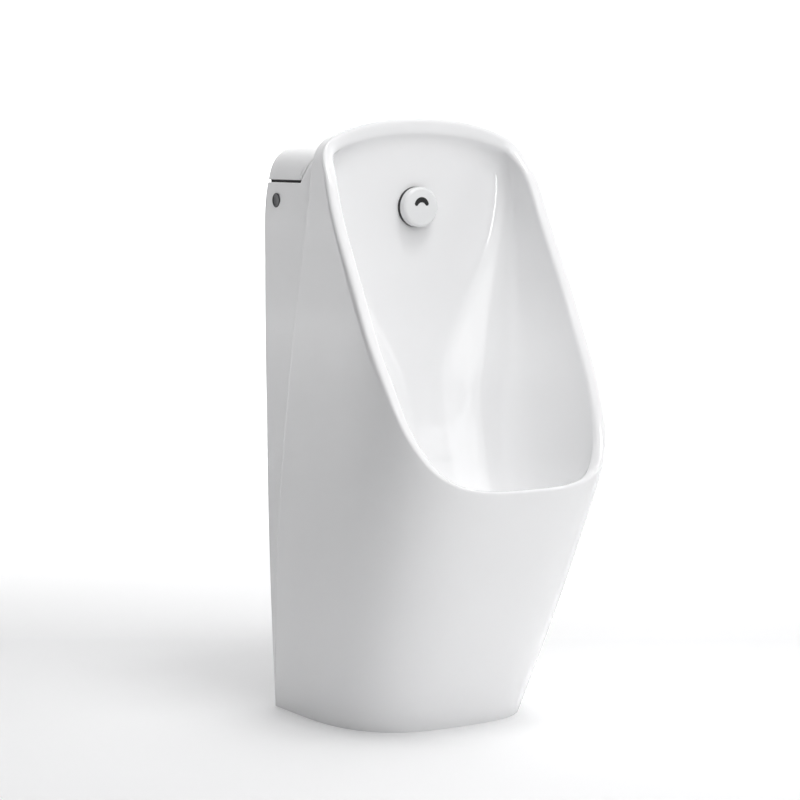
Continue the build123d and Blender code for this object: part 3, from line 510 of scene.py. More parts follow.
foot_length = lengths(plan_curve(FOOT_PLACE))[-1]
hood_place = rim_place[HOOD_INDEX]
total = FOOT_PLACE - hood_place + foot_length
spacing = total / (RIM_COUNT - 1 - HOOD_INDEX)
DECK_INDEX = HOOD_INDEX + round((DECK_PLACE - hood_place) / spacing)
FOOT_INDEX = HOOD_INDEX + round((FOOT_PLACE - hood_place) / spacing)
crease_count = FOOT_INDEX + 1
crease_place = np.concatenate([
    rim_place[:HOOD_INDEX],
    np.interp(
        np.arange(HOOD_INDEX, crease_count),
        (HOOD_INDEX, DECK_INDEX, FOOT_INDEX),
        (hood_place, DECK_PLACE, FOOT_PLACE),
    ),
])
crease_shares = crease_share(crease_place)
end_place = np.concatenate([crease_place, np.full(RIM_COUNT - crease_count, FOOT_PLACE)])
foot_shares = np.linspace(crease_shares[-1], 1.0, RIM_COUNT - crease_count + 1)[1:]
end_share = np.concatenate([crease_shares, foot_shares])


def outer_grid():
    """From the roll's outer edge to the crease or the foot."""
    rows = []
    for k in range(RIM_COUNT):
        start_share = share_of(plan_curve(rim_down[k], 900), rim_outer[k, 0], rim_outer[k, 1])
        t = np.linspace(0, 1, OUTER_ROWS)
        place = rim_down[k] + (end_place[k] - rim_down[k]) * t
        share = start_share + (end_share[k] - start_share) * t
        row = outer_points(place, share)
        row[0] = rim_outer[k]
        rows.append(row)
    return np.array(rows)


def across_rim(direction, rim):
    """The part of each direction that is square to the rim."""
    tangent = np.gradient(rim, axis=0)
    tangent /= np.linalg.norm(tangent, axis=1)[:, None]
    square = direction - (direction * tangent).sum(1)[:, None] * tangent
    return square / np.linalg.norm(square, axis=1)[:, None]


def roll_grid(outer, bowl):
    from_outer = across_rim(outer[:, 0] - outer[:, 1], rim_outer)
    from_bowl = across_rim(bowl[:, 0] - bowl[:, 1], rim_inner)
    pull = 1.33 * nose(rim_place)
    rows = []
    for k in range(RIM_COUNT):
        rows.append(bezier(rim_outer[k], from_outer[k] * pull[k], from_bowl[k] * pull[k], rim_inner[k], ROLL_ROWS))
    return np.array(rows)


def step_grid(outer):
    """The shroud's rounded rear edge and the step down to the rear box."""
    start = outer[:crease_count, -1]
    normal = outline_normal(crease_place)
    inward = np.column_stack([-normal[:, 0], np.zeros(crease_count), -normal[:, 1]])
    values = outline(crease_place)
    height = np.maximum(values[:, 1], 0.0)
    rounding = np.minimum(EDGE_ROUND, 0.6 * step(height))[:, None]
    back = np.array([0.0, -1.0, 0.0])
    columns = [start]
    for angle in np.linspace(0, math.pi / 2, 5)[1:]:
        columns.append(start + rounding * (math.sin(angle) * back + (1 - math.cos(angle)) * inward))
    foot = np.column_stack([values[:, 2], columns[-1][:, 1], values[:, 3]])
    columns.append((columns[-1] + foot) / 2)
    columns.append(foot)
    return np.stack(columns, 1)


def seam_depth(height):
    share = (height - DECK_HEIGHT) / (BOX_TOP - DECK_HEIGHT)
    return SEAM_DEPTH_LOW + (SEAM_DEPTH_TOP - SEAM_DEPTH_LOW) * share


def box_grids(fold):
    """Rear box: a strip next to the fold all the way, and the rest of the side below the deck."""
    start = fold[:, -1]
    values = outline(crease_place)
    deck_split = start[:, 1] * SEAM_DEPTH_LOW / start[DECK_INDEX, 1]
    split = np.where(np.arange(crease_count) <= DECK_INDEX, seam_depth(values[:, 3]), deck_split)
    strip, side = [], []
    for t in np.linspace(0, 1, 7):
        strip.append(np.column_stack([start[:, 0], start[:, 1] + (split - start[:, 1]) * t, start[:, 2]]))
    below = slice(DECK_INDEX, crease_count)
    for t in np.linspace(0, 1, 9):
        side.append(np.column_stack([start[below, 0], split[below] * (1 - t), start[below, 2]]))
    return np.stack(strip, 1), np.stack(side, 1)


NECK_DEPTH = 86.0


def seat_grid(strip):
    """The slanted face behind the lid, the ledge below it and the start of the neck."""
    top = strip[: DECK_INDEX + 1, -1]
    columns = []
    for t in np.linspace(0, 1, 7):
        height = top[:, 2] + (DECK_HEIGHT - top[:, 2]) * t
        columns.append(np.column_stack([top[:, 0], seam_depth(height), height]))
    inner = columns[-1] * (0.94, 1.0, 1.0)
    inner[:, 1] = NECK_DEPTH
    columns.append(inner)
    columns.append(inner - (0.0, 0.0, 14.0))
    return np.stack(columns, 1)


def add_grid(bm, grid, skin=None, layer=None):
    """Quads over a grid of points and over its mirror image; skin sets the wall's thickness."""
    points = to_frame(grid)
    for mirror in (1.0, -1.0):
        rows = []
        for row in points:
            rows.append([bm.verts.new((p[0] * mirror, p[1], p[2])) for p in row])
        if layer is not None:
            for r, row in enumerate(rows):
                for c, vert in enumerate(row):
                    vert[layer][0] = float(skin[r, c])
        for a, b in zip(rows, rows[1:]):
            for c in range(len(a) - 1):
                quad = (a[c], a[c + 1], b[c + 1], b[c])
                bm.faces.new(quad if mirror > 0 else quad[::-1])


def mesh_object(name, bm, merge=2e-6):
    """A smooth-shaded object from a bmesh, with doubles merged."""
    if merge:
        bmesh.ops.remove_doubles(bm, verts=bm.verts, dist=merge)
        bmesh.ops.dissolve_degenerate(bm, edges=bm.edges, dist=merge / 2)
    mesh = bpy.data.meshes.new(name)
    bm.to_mesh(mesh)
    bm.free()
    piece = bpy.data.objects.new(name, mesh)
    bpy.context.scene.collection.objects.link(piece)
    mesh.shade_smooth()
    return piece


def settle(piece, sharp=None):
    """Apply the piece's modifiers and mark its sharp edges."""
    bpy.context.view_layer.update()
    graph = bpy.context.evaluated_depsgraph_get()
    mesh = bpy.data.meshes.new_from_object(piece.evaluated_get(graph))
    for vert in mesh.vertices:
        vert.co.y = min(vert.co.y, WALL_Y * MM)
    piece.modifiers.clear()
    piece.data = mesh
    mesh.shade_smooth()
    if sharp:
        mesh.set_sharp_from_angle(angle=math.radians(sharp))
    return piece


WALL_THICK = 10.0
RIM_THIN = 0.12
HOOD_THIN = 0.3
BOWL_THIN = 0.45
OUTER_FULL = 26.0


def ceramic_sheet():
    outer = outer_grid()
    bowl = bowl_grid()
    roll = roll_grid(outer, bowl)
    fold = step_grid(outer)
    strip, side = box_grids(fold)
    bm = bmesh.new()
    layer = bm.verts.layers.deform.new()

    def full(grid):
        return np.ones(grid.shape[:2])

    columns = np.arange(OUTER_ROWS)
    to_crease = 1 - (1 - RIM_THIN) * eased((columns - OUTER_ROWS + 6) / 5.0)
    from_rim = RIM_THIN + (1 - RIM_THIN) * eased(columns / OUTER_FULL)
    outer_skin = full(outer) * from_rim
    outer_skin[:crease_count] = np.minimum(from_rim, to_crease)
    add_grid(bm, outer, outer_skin, layer)
    add_grid(bm, roll[:, ::-1], full(roll) * RIM_THIN, layer)
    rows = np.arange(BOWL_ROWS)
    from_rim = RIM_THIN + (BOWL_THIN - RIM_THIN) * eased(rows / 10.0)
    to_drain = (1 - BOWL_THIN) * eased((rows - 26) / 22.0)
    add_grid(bm, bowl[:, ::-1], full(bowl) * (from_rim + to_drain)[::-1], layer)
    drain = drain_grid(bowl)
    add_grid(bm, drain[:, ::-1], full(drain), layer)
    add_grid(bm, fold, full(fold) * RIM_THIN, layer)
    box_skin = eased(fold[:, -1, 1] / 60.0)[:, None]
    strip_skin = np.where(np.arange(crease_count) <= DECK_INDEX, HOOD_THIN, 1.0)[:, None] * box_skin
    add_grid(bm, strip, np.maximum(strip_skin * np.linspace(0, 1, strip.shape[1]), RIM_THIN * box_skin), layer)
    add_grid(bm, side, full(side) * box_skin[DECK_INDEX:], layer)
    seat = seat_grid(strip)
    add_grid(bm, seat, full(seat) * HOOD_THIN, layer)
    return bm


bm = ceramic_sheet()
bmesh.ops.remove_doubles(bm, verts=bm.verts, dist=2e-6)
bmesh.ops.recalc_face_normals(bm, faces=bm.faces)
foremost = min(bm.faces, key=lambda f: (f.calc_center_median() - Vector((0.0, -0.2, 0.2))).length)
if foremost.normal.y > 0:
    bmesh.ops.reverse_faces(bm, faces=bm.faces)
body = mesh_object("ceramic_shell", bm)
body.vertex_groups.new(name="skin")
wall = body.modifiers.new("wall", "SOLIDIFY")
wall.thickness = WALL_THICK * MM
wall.offset = -1.0
wall.vertex_group = "skin"
wall.thickness_vertex_group = 0.0

# Screw holes through the sides, under the caps
CAP_HEIGHT = 778.0
CAP_DEPTH = 33.0
SCREW_HOLE = 9.0
HOLE_REACH = 420.0
bm = bmesh.new()
bmesh.ops.create_cone(
    bm,
    cap_ends=True,
    segments=48,
    radius1=SCREW_HOLE * MM,
    radius2=SCREW_HOLE * MM,
    depth=HOLE_REACH * MM,
    matrix=Matrix.LocRotScale(to_frame((0.0, CAP_DEPTH, CAP_HEIGHT)), Euler((0.0, math.pi / 2, 0.0)), None),
)
drill = mesh_object("drill", bm, merge=0.0)
holes = body.modifiers.new("holes", "BOOLEAN")
holes.object = drill
holes.operation = "DIFFERENCE"
holes.solver = "EXACT"
settle(body, sharp=38.0)
bpy.data.objects.remove(drill)
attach(body, "urinal")
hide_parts("ceramic_body")
print("shell faces", len(body.data.polygons))

# Lid: an arch over the valve chamber, closed at both ends and open below
SEAM_GAP = 1.0
LID_WALL = 9.0


def lid_sheet():
    count = 46
    foot_place = float(np.interp(-LID_FOOT, -outline(table_places)[:, 3], table_places))
    values = outline(np.linspace(0, foot_place, count))
    across, height = values[:, 2], values[:, 3]
    across[0] = 0.0
    height[-1] = LID_FOOT
    face = seam_depth(height) - SEAM_GAP
    top = np.stack([np.column_stack([across, face * t, height]) for t in np.linspace(1, 0, 14)], 1)
    front, back = [], []
    for t in np.linspace(0, 1, 7):
        level = height + (LID_FOOT - height) * t
        front.append(np.column_stack([across, seam_depth(level) - SEAM_GAP, level]))
        back.append(np.column_stack([across, np.zeros(count), level]))
    bm = bmesh.new()
    add_grid(bm, top)
    add_grid(bm, np.stack(front[::-1], 1)[:-1])
    add_grid(bm, np.stack(back, 1)[:-1])
    for depth in (seam_depth(LID_FOOT) - SEAM_GAP, 0.0):
        level = outline(np.linspace(0, foot_place, count))[-2:]
        corner = [(level[0, 2], depth, LID_FOOT), (across[-1], depth, LID_FOOT)]
        upper = (across[-2], (seam_depth(height[-2]) - SEAM_GAP) if depth else 0.0, height[-2])
        for mirror in (1.0, -1.0):
            ring = to_frame(np.array([(mirror * x, d, z) for x, d, z in (*corner, upper)]))
            bm.faces.new([bm.verts.new(p) for p in ring])
    return bm


bm = lid_sheet()
bmesh.ops.remove_doubles(bm, verts=bm.verts, dist=2e-6)
bmesh.ops.dissolve_degenerate(bm, edges=bm.edges, dist=1e-6)
bmesh.ops.recalc_face_normals(bm, faces=bm.faces)
if max(bm.faces, key=lambda f: f.calc_center_median().z).normal.z < 0:
    bmesh.ops.reverse_faces(bm, faces=bm.faces)
lid = mesh_object("lid_shell", bm)
wall = lid.modifiers.new("wall", "SOLIDIFY")
wall.thickness = LID_WALL * MM
wall.offset = -1.0
edge = lid.modifiers.new("edge", "BEVEL")
edge.width = 0.9 * MM
edge.segments = 3
edge.limit_method = "ANGLE"
edge.angle_limit = math.radians(38)
settle(lid, sharp=45.0)
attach(lid, "lid")
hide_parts("top_cover")

# Pieces turned about an axis: profiles are (radius, distance along the axis)
TURNS = 96


def lathe(name, profile, place, axis, up=(0, 0, 1)):
    """Turns a profile about an axis through place, in millimetres as (across, depth, height)."""
    bm = bmesh.new()
    main = Vector(axis).normalized()
    side = main.orthogonal().normalized()
    other = main.cross(side)
    centre = np.array(place, float)
    rings = []
    for radius, along in profile:
        if radius <= 0:
            rings.append([bm.verts.new(to_frame(centre + np.array(main) * along))])
            continue
        ring = []
        for k in range(TURNS):
            angle = 2 * math.pi * k / TURNS
            around = np.array(side) * math.cos(angle) + np.array(other) * math.sin(angle)
            ring.append(bm.verts.new(to_frame(centre + np.array(main) * along + around * radius)))
        rings.append(ring)
    for a, b in zip(rings, rings[1:]):
        for k in range(TURNS):
            n = (k + 1) % TURNS
            if len(a) == 1:
                bm.faces.new((a[0], b[k], b[n]))
            elif len(b) == 1:
                bm.faces.new((a[k], b[0], a[n]))
            else:
                bm.faces.new((a[k], b[k], b[n], a[n]))
    bmesh.ops.recalc_face_normals(bm, faces=bm.faces)
    return mesh_object(name, bm, merge=0.0)


def rounded(corners, radius, count=5):
    """A profile with its inner corners rounded."""
    points = [np.array(c, float) for c in corners]
    out = [points[0]]
    for before, corner, after in zip(points, points[1:], points[2:]):
        a, b = before - corner, after - corner
        cut = min(radius, 0.45 * np.linalg.norm(a), 0.45 * np.linalg.norm(b))
        a, b = a / np.linalg.norm(a) * cut, b / np.linalg.norm(b) * cut
        for t in np.linspace(0, 1, count):
            out.append(corner + a * (1 - t) ** 2 + b * t**2)
    out.append(points[-1])
    return out


# Sensor head in the bowl's back wall
SENSOR_HEIGHT = 768.0
HEAD_RADIUS = 30.0
CAP_BACK = 142.0
CAP_FACE = 156.0
cap_profile = rounded(
    ((0.0, 150.0), (26.6, 150.0), (26.6, CAP_BACK), (HEAD_RADIUS, CAP_BACK), (HEAD_RADIUS, CAP_FACE - 3.2),
     (HEAD_RADIUS - 3.4, CAP_FACE - 0.3), (10.0, CAP_FACE), (0.0, CAP_FACE)),
    0.9,
)
sensor_cap = lathe("sensor_cover", cap_profile, (0.0, 0.0, SENSOR_HEIGHT), (0, 1, 0))
sensor_cap.data.set_sharp_from_angle(angle=math.radians(40))
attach(sensor_cap, "urinal")
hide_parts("sensor_cap")

RING_RADIUS = 30.3
ring_profile = rounded(
    ((20.0, CAP_BACK + 3.0), (RING_RADIUS - 3.5, CAP_BACK + 3.0), (RING_RADIUS - 3.5, CAP_BACK - 0.2),
     (RING_RADIUS, CAP_BACK - 0.2), (RING_RADIUS, 136.0)),
    0.5,
)
spreader = lathe("spreader_disc", ring_profile, (0.0, 0.0, SENSOR_HEIGHT), (0, 1, 0))
spreader.data.set_sharp_from_angle(angle=math.radians(40))
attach(spreader, "urinal")
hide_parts("spreader_ring")

WINDOW_TOP = 783.0
WINDOW_OUTER = 12.4
WINDOW_INNER = 7.6
WINDOW_BAND = 8.0
OUTER_REACH = math.radians(68)
INNER_REACH = math.radians(62)
WINDOW_STANDS = 0.3


def arc(radius, middle, reach):
    angles = np.linspace(-reach, reach, 33)
    return np.column_stack([radius * np.sin(angles), middle + radius * np.cos(angles)])


def window_mesh():
    """Arched dark window: the band between two arcs, with round ends."""
    outside = arc(WINDOW_OUTER, WINDOW_TOP - WINDOW_OUTER, OUTER_REACH)
    inside = arc(WINDOW_INNER, WINDOW_TOP - WINDOW_BAND - WINDOW_INNER, INNER_REACH)
    ring = list(outside)
    for start, end, then in ((outside[-1], inside[-1], inside[::-1]), (inside[0], outside[0], [])):
        middle = (start + end) / 2
        half = (start - end) / 2
        square = np.array([half[1], -half[0]])
        for turn in np.linspace(0, math.pi, 13)[1:-1]:
            ring.append(middle + half * math.cos(turn) + square * math.sin(turn))
        ring += list(then)
    bm = bmesh.new()
    back = [bm.verts.new(to_frame((x, CAP_FACE - 1.0, z))) for x, z in ring]
    face = bm.faces.new(back)
    grown = bmesh.ops.extrude_face_region(bm, geom=[face])
    moved = [item for item in grown["geom"] if isinstance(item, bmesh.types.BMVert)]
    bmesh.ops.translate(bm, verts=moved, vec=(0.0, -(1.0 + WINDOW_STANDS) * MM, 0.0))
    bmesh.ops.recalc_face_normals(bm, faces=bm.faces)
    return bm


window = mesh_object("sensor_lens", window_mesh(), merge=0.0)
edge = window.modifiers.new("edge", "BEVEL")
edge.width = 0.3 * MM
edge.segments = 2
edge.limit_method = "ANGLE"
edge.angle_limit = math.radians(60)
settle(window, sharp=35.0)
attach(window, "urinal")
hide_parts("sensor_window")

# Snap caps over the side screws
CAP_SEAT = float(np.interp(-CAP_HEIGHT, -outline(table_places)[:, 3], outline(table_places)[:, 2]))
snap_profile = rounded(
    ((0.0, -2.0), (8.7, -2.0), (8.7, -0.2), (11.0, -0.2), (11.0, 0.7), (10.2, 1.5), (8.8, 1.5), (8.3, 0.9), (0.0, 0.9)),
    0.35,
    4,
)
for side, mark in ((-1, "left"), (1, "right")):
    snap = lathe(f"snap_cap_{mark}", snap_profile, (side * CAP_SEAT, CAP_DEPTH, CAP_HEIGHT), (side, 0, 0))
    snap.data.set_sharp_from_angle(angle=math.radians(40))
    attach(snap, f"{mark}_cap")
    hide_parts(f"screw_cap_{mark}")

# Coil spring over the plunger
SPRING_PLACE = (92.0, 46.0)
SPRING_FOOT = 738.5
SPRING_TOP = 760.0
SPRING_COILS = 7
SPRING_RADIUS = 3.2
WIRE_RADIUS = 0.4


def spring_mesh():
    bm = bmesh.new()
    rings = []
    steps = SPRING_COILS * 20
    rise = SPRING_TOP - SPRING_FOOT - 2 * WIRE_RADIUS
    for k in range(steps + 1):
        turn = 2 * math.pi * k / 20
        share = k / steps
        level = SPRING_FOOT + WIRE_RADIUS + rise * (share + 0.06 * math.sin(2 * math.pi * share))
        ring = []
        for m in range(8):
            spin = 2 * math.pi * m / 8
            radius = SPRING_RADIUS + WIRE_RADIUS * math.cos(spin)
            spot = (
                SPRING_PLACE[0] + radius * math.cos(turn),
                SPRING_PLACE[1] + radius * math.sin(turn),
                level + WIRE_RADIUS * math.sin(spin),
            )
            ring.append(bm.verts.new(to_frame(spot)))
        rings.append(ring)
    for a, b in zip(rings, rings[1:]):
        for m in range(8):
            n = (m + 1) % 8
            bm.faces.new((a[m], a[n], b[n], b[m]))
    bm.faces.new(rings[0])
    bm.faces.new(rings[-1][::-1])
    bmesh.ops.recalc_face_normals(bm, faces=bm.faces)
    return bm


spring = mesh_object("return_spring", spring_mesh(), merge=0.0)
spring.data.set_sharp_from_angle(angle=math.radians(60))
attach(spring, "urinal")
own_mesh(spring)
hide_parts("plunger_spring")

# Soft strips that carry the lid and close the slit behind its edge; their near-black rubber colour is painted shade,
# standing in for the shadow deep in the slit
STRIP_X = (168.5, 173.0)
STRIP_DEPTHS = (5.0, 94.0)


def strips_mesh():
    bm = bmesh.new()
    middle_depth = sum(STRIP_DEPTHS) / 2
    for side in (-1, 1):
        centre = to_frame((side * sum(STRIP_X) / 2, middle_depth, (DECK_HEIGHT + LID_FOOT) / 2))
        size = (STRIP_X[1] - STRIP_X[0], STRIP_DEPTHS[1] - STRIP_DEPTHS[0], LID_FOOT - DECK_HEIGHT)
        bmesh.ops.create_cube(bm, size=1.0, matrix=Matrix.LocRotScale(centre, None, Vector(size) * MM))
    bmesh.ops.bevel(bm, geom=bm.edges, offset=0.8 * MM, segments=3, profile=0.5, affect="EDGES")
    return bm


strips = mesh_object("lid_strips_painted_slit_shade", strips_mesh(), merge=0.0)
strips.data.set_sharp_from_angle(angle=math.radians(60))
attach(strips, "urinal")
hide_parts("cover_pads")

# Softened edges on the pieces carried over from the solids
for label in ("head_gasket", "drain_strainer", "drain_tail", "wall_bracket",
              "control_case", "control_cover", "stop_handle", "solenoid_coil", "solenoid_body", "bracket_nuts",
              "union_nut", "drain_nut", "shank_nut", "battery_tray", "filter_housing", "stop_valve_body",
              "floor_collar", "trap_coupling"):
    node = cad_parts[label]
    join = node.modifiers.new("join", "WELD")
    join.merge_threshold = 0.00001
    soft = node.modifiers.new("soft", "BEVEL")
    soft.width = 0.4 * MM
    soft.segments = 2
    soft.limit_method = "ANGLE"
    soft.angle_limit = math.radians(38)


# Materials: two close colours mixed by noise, an uneven gloss and a fine relief
def finish(name, light, dark, rough, metal=0.0, grain=60.0, stretch=(1, 1, 1), relief=0.02, depth=0.0004,
           coat=0.0, pattern=None):
    material = bpy.data.materials.new(name)
    material.use_nodes = True
    tree = material.node_tree
    shader = tree.nodes["Principled BSDF"]
    spots = tree.nodes.new("ShaderNodeTexCoord")
    scaled = tree.nodes.new("ShaderNodeMapping")
    scaled.inputs["Scale"].default_value = stretch
    tree.links.new(spots.outputs["Object"], scaled.inputs["Vector"])
    clouds = tree.nodes.new("ShaderNodeTexNoise")
    clouds.inputs["Scale"].default_value = grain
    clouds.inputs["Detail"].default_value = 6.0
    tree.links.new(scaled.outputs["Vector"], clouds.inputs["Vector"])
    source = clouds.outputs["Fac"]
    if pattern == "bands":
        waves = tree.nodes.new("ShaderNodeTexWave")
        waves.bands_direction = "Z"
        waves.inputs["Scale"].default_value = 190.0
        waves.inputs["Distortion"].default_value = 0.6
        tree.links.new(spots.outputs["Object"], waves.inputs["Vector"])
        source = waves.outputs["Fac"]
    elif pattern == "cells":
        cells = tree.nodes.new("ShaderNodeTexVoronoi")
        cells.inputs["Scale"].default_value = 260.0
        cells.feature = "F1"
        cells.distance = "CHEBYCHEV"
        tree.links.new(spots.outputs["Object"], cells.inputs["Vector"])
        source = cells.outputs["Distance"]
    ramp = tree.nodes.new("ShaderNodeValToRGB")
    ramp.color_ramp.elements[0].position = 0.35
    ramp.color_ramp.elements[0].color = (*dark, 1.0)
    ramp.color_ramp.elements[1].position = 0.65
    ramp.color_ramp.elements[1].color = (*light, 1.0)
    tree.links.new(source, ramp.inputs["Fac"])
    tree.links.new(ramp.outputs["Color"], shader.inputs["Base Color"])
    gloss = tree.nodes.new("ShaderNodeMapRange")
    gloss.inputs["To Min"].default_value = rough * 0.8
    gloss.inputs["To Max"].default_value = min(1.0, rough * 1.25)
    tree.links.new(clouds.outputs["Fac"], gloss.inputs["Value"])
    tree.links.new(gloss.outputs["Result"], shader.inputs["Roughness"])
    fine = tree.nodes.new("ShaderNodeTexNoise")
    fine.inputs["Scale"].default_value = grain * 6
    fine.inputs["Detail"].default_value = 3.0
    tree.links.new(scaled.outputs["Vector"], fine.inputs["Vector"])
    bump = tree.nodes.new("ShaderNodeBump")
    bump.inputs["Strength"].default_value = relief
    bump.inputs["Distance"].default_value = depth
    tree.links.new(source if pattern else fine.outputs["Fac"], bump.inputs["Height"])
    tree.links.new(bump.outputs["Normal"], shader.inputs["Normal"])
    shader.inputs["Metallic"].default_value = metal
    shader.inputs["Coat Weight"].default_value = coat
    shader.inputs["Coat Roughness"].default_value = 0.04
    return material


def glaze_finish():
    """White sanitary glaze: clear gloss over a body with very faint clouds and pin-fine ripples."""
    material = finish("glazed_ceramic", (0.880, 0.881, 0.886), (0.868, 0.869, 0.875), 0.06, grain=5.0, coat=0.2)
    tree = material.node_tree
    shader = tree.nodes["Principled BSDF"]
    ripple = [node for node in tree.nodes if node.type == "BUMP"][0]
    ripple.inputs["Strength"].default_value = 0.06
    ripple.inputs["Distance"].default_value = 0.0006
    shader.inputs["IOR"].default_value = 1.52
    return material


MATERIALS = {
    "glazed_ceramic": glaze_finish(),
    # Near-black rubber for the lid pads and strips: the dark colour is painted shade for the slit under the lid
    "grey_rubber": finish("grey_rubber", (0.020, 0.020, 0.021), (0.012, 0.012, 0.013), 0.75, grain=140.0, relief=0.2),
    "white_plastic": finish("white_plastic", (0.80, 0.805, 0.81), (0.78, 0.785, 0.79), 0.22, grain=30.0),
    "stainless": finish("stainless", (0.66, 0.66, 0.65), (0.52, 0.52, 0.52), 0.28, 1.0, 40.0, (1, 1, 14), 0.05),
    "zinc_steel": finish("zinc_steel", (0.60, 0.61, 0.63), (0.42, 0.43, 0.46), 0.38, 1.0, 55.0, relief=0.08),
    "chrome_cap": finish("chrome_cap", (0.085, 0.086, 0.09), (0.06, 0.061, 0.065), 0.34, 0.8, 90.0, relief=0.06),
    "dark_lens": finish("dark_lens", (0.008, 0.008, 0.009), (0.004, 0.004, 0.005), 0.42, grain=20.0),
    "circuit_board": finish(
        "circuit_board", (0.02, 0.16, 0.06), (0.008, 0.08, 0.03), 0.4, relief=0.15, pattern="cells"),
    "black_rubber": finish("black_rubber", (0.022, 0.022, 0.023), (0.012, 0.012, 0.012), 0.7, grain=160.0, relief=0.2),
    "black_plastic": finish("black_plastic", (0.02, 0.02, 0.021), (0.012, 0.012, 0.013), 0.42, grain=120.0, relief=0.1),
    "brass": finish("brass", (0.72, 0.52, 0.22), (0.56, 0.38, 0.14), 0.32, 1.0, 45.0, relief=0.06),
    "grey_plastic": finish("grey_plastic", (0.34, 0.35, 0.36), (0.28, 0.29, 0.30), 0.48, grain=150.0, relief=0.15),
    "white_pipe": finish("white_pipe", (0.78, 0.78, 0.76), (0.70, 0.70, 0.68), 0.4, grain=25.0, relief=0.05),
    "blue_plastic": finish("blue_plastic", (0.05, 0.16, 0.42), (0.035, 0.11, 0.31), 0.38, grain=110.0, relief=0.1),
    "copper_coil": finish(
        "copper_coil", (0.62, 0.28, 0.13), (0.30, 0.11, 0.05), 0.35, 1.0, relief=0.6, pattern="bands"),
    "cell_wrap": finish("cell_wrap", (0.09, 0.10, 0.11), (0.045, 0.05, 0.055), 0.3, grain=35.0, coat=0.3),
}
FINISHES = {
    "glazed_ceramic": ("ceramic_body", "top_cover"),
    "grey_rubber": ("cover_pads",),
    "white_plastic": ("fixing_bushes", "sensor_cap"),
    "stainless": ("fixing_screws", "filter_mesh", "core_tube", "valve_plunger", "plunger_spring", "drain_tail",
                  "drain_strainer"),
    "zinc_steel": ("bracket_nuts", "wall_bracket", "stop_handle"),
    "chrome_cap": ("screw_cap_left", "screw_cap_right"),
    "dark_lens": ("sensor_window",),
    "circuit_board": ("sensor_board", "control_board"),
    "black_rubber": ("head_gasket", "shank_washer", "valve_diaphragm", "case_gasket", "sensor_cable", "valve_cable",
                     "drain_seal", "floor_seal"),
    "black_plastic": ("spreader_ring", "battery_tray"),
    "brass": ("head_shank", "shank_nut", "stop_valve_body", "union_nut", "filter_housing"),
    "grey_plastic": ("head_elbow", "control_case", "control_cover", "board_posts"),
    "white_pipe": ("flush_tube", "drain_nut", "trap_coupling", "trap_pipe", "floor_collar"),
    "blue_plastic": ("solenoid_body",),
    "copper_coil": ("solenoid_coil",),
    "cell_wrap": ("batteries",),
}


def paint(piece, slot):
    piece.data.materials.clear()
    piece.data.materials.append(MATERIALS[slot])


for slot, labels in FINISHES.items():
    for label in labels:
        paint(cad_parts[label], slot)
paint(body, "glazed_ceramic")
paint(lid, "glazed_ceramic")
paint(sensor_cap, "white_plastic")
paint(window, "dark_lens")
paint(spreader, "black_plastic")
paint(spring, "stainless")
paint(strips, "grey_rubber")
for mark in ("left", "right"):
    paint(bpy.data.objects[f"snap_cap_{mark}"], "chrome_cap")

# Floor, backdrop, light and camera
BACKDROP_GLOW = 1.0
FLOOR_GLOW = 0.04
SKY = 0.05
GLOW_START = 0.6
GLOW_FULL = 3.2
SWEEP_FRONT = -6.0
SWEEP_TURN = 4.4
SWEEP_RADIUS = 0.5
SWEEP_TOP = 9.6
SWEEP_HALF = 9.6


def sweep_mesh():
    """Floor that curves up into a plain backdrop, square to the view."""
    line = [(SWEEP_FRONT, 0.0), (SWEEP_TURN - SWEEP_RADIUS, 0.0)]
    for turn in np.linspace(0, math.pi / 2, 17)[1:]:
        line.append((SWEEP_TURN - SWEEP_RADIUS * (1 - math.sin(turn)), SWEEP_RADIUS * (1 - math.cos(turn))))
    line.append((SWEEP_TURN, SWEEP_TOP))
    bm = bmesh.new()
    rows = [[bm.verts.new((x, y, z)) for x in (-SWEEP_HALF, SWEEP_HALF)] for y, z in line]
    for a, b in zip(rows, rows[1:]):
        bm.faces.new((a[0], a[1], b[1], b[0]))
    return bm


CAMERA_TURN = math.radians(32.055)
sweep = mesh_object("studio_sweep", sweep_mesh(), merge=0.0)
sweep.rotation_euler.z = -CAMERA_TURN
paper = bpy.data.materials.new("studio_paper")
paper.use_nodes = True
paper_shader = paper.node_tree.nodes["Principled BSDF"]
paper_shader.inputs["Base Color"].default_value = (0.94, 0.94, 0.945, 1.0)
paper_shader.inputs["Roughness"].default_value = 0.95
paper_shader.inputs["Emission Color"].default_value = (1.0, 1.0, 1.0, 1.0)
where = paper.node_tree.nodes.new("ShaderNodeTexCoord")
parts = paper.node_tree.nodes.new("ShaderNodeSeparateXYZ")
glow = paper.node_tree.nodes.new("ShaderNodeMapRange")
glow.inputs["From Min"].default_value = GLOW_START
glow.inputs["From Max"].default_value = GLOW_FULL
glow.inputs["To Min"].default_value = FLOOR_GLOW
glow.inputs["To Max"].default_value = BACKDROP_GLOW
paper.node_tree.links.new(where.outputs["Object"], parts.inputs["Vector"])
paper.node_tree.links.new(parts.outputs["Y"], glow.inputs["Value"])
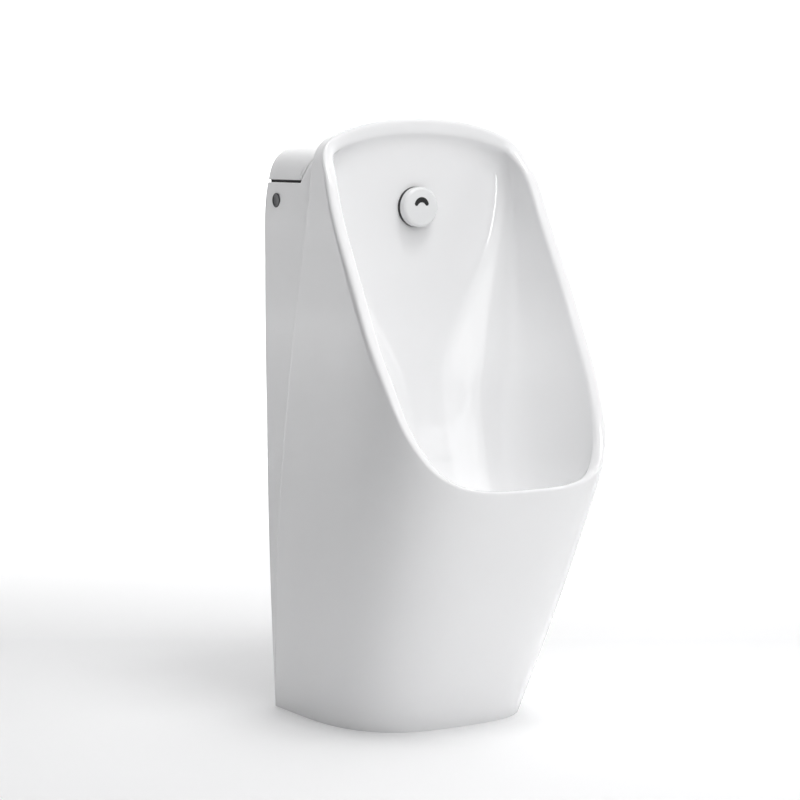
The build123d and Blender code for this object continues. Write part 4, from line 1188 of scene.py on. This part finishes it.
paper.node_tree.links.new(glow.outputs["Result"], paper_shader.inputs["Emission Strength"])
sweep.data.materials.append(paper)

world = bpy.data.worlds.new("studio")
bpy.context.scene.world = world
world.use_nodes = True
world.node_tree.nodes["Background"].inputs["Color"].default_value = (0.93, 0.95, 1.0, 1.0)
world.node_tree.nodes["Background"].inputs["Strength"].default_value = SKY


def area_light(name, place, aim, size, power):
    light = bpy.data.lights.new(name, "AREA")
    light.shape = "RECTANGLE"
    light.size, light.size_y = size
    light.energy = power
    holder = bpy.data.objects.new(name, light)
    bpy.context.scene.collection.objects.link(holder)
    holder.location = place
    holder.rotation_euler = (Vector(aim) - Vector(place)).to_track_quat("-Z", "Y").to_euler()
    return holder


area_light("key_front", (-0.5, -3.0, 2.3), (0.0, 0.0, 0.5), (3.6, 2.2), 27.0)
area_light("soft_top", (0.2, -1.4, 3.2), (0.0, 0.0, 0.4), (4.6, 4.6), 62.0)
area_light("fill_right", (3.0, -1.4, 1.4), (0.0, 0.0, 0.5), (1.8, 1.8), 14.0)
area_light("streak_panel", (0.55, -3.0, 0.95), (0.1, 0.1, 0.75), (0.36, 0.5), 4.6)
bowl_light = area_light("bowl_top", (0.05, -1.1, 3.0), (0.0, -0.1, 0.4), (0.8, 0.8), 2.0)
bowl_light.data.spread = math.radians(50)
bpy.context.scene.view_settings.view_transform = "Standard"

CAMERA_PLACE = (-2.0313, -3.1165, 0.876)
CAMERA_DROP = math.radians(6.01)
CAMERA_LENS = 113.54

camera_data = bpy.data.cameras.new("camera")
camera_data.lens = CAMERA_LENS
camera_data.sensor_width = 36.0
camera = bpy.data.objects.new("camera", camera_data)
bpy.context.scene.collection.objects.link(camera)
camera.location = CAMERA_PLACE
look = Vector((
    math.sin(CAMERA_TURN) * math.cos(CAMERA_DROP),
    math.cos(CAMERA_TURN) * math.cos(CAMERA_DROP),
    -math.sin(CAMERA_DROP),
))
camera.rotation_euler = look.to_track_quat("-Z", "Y").to_euler()
bpy.context.scene.camera = camera
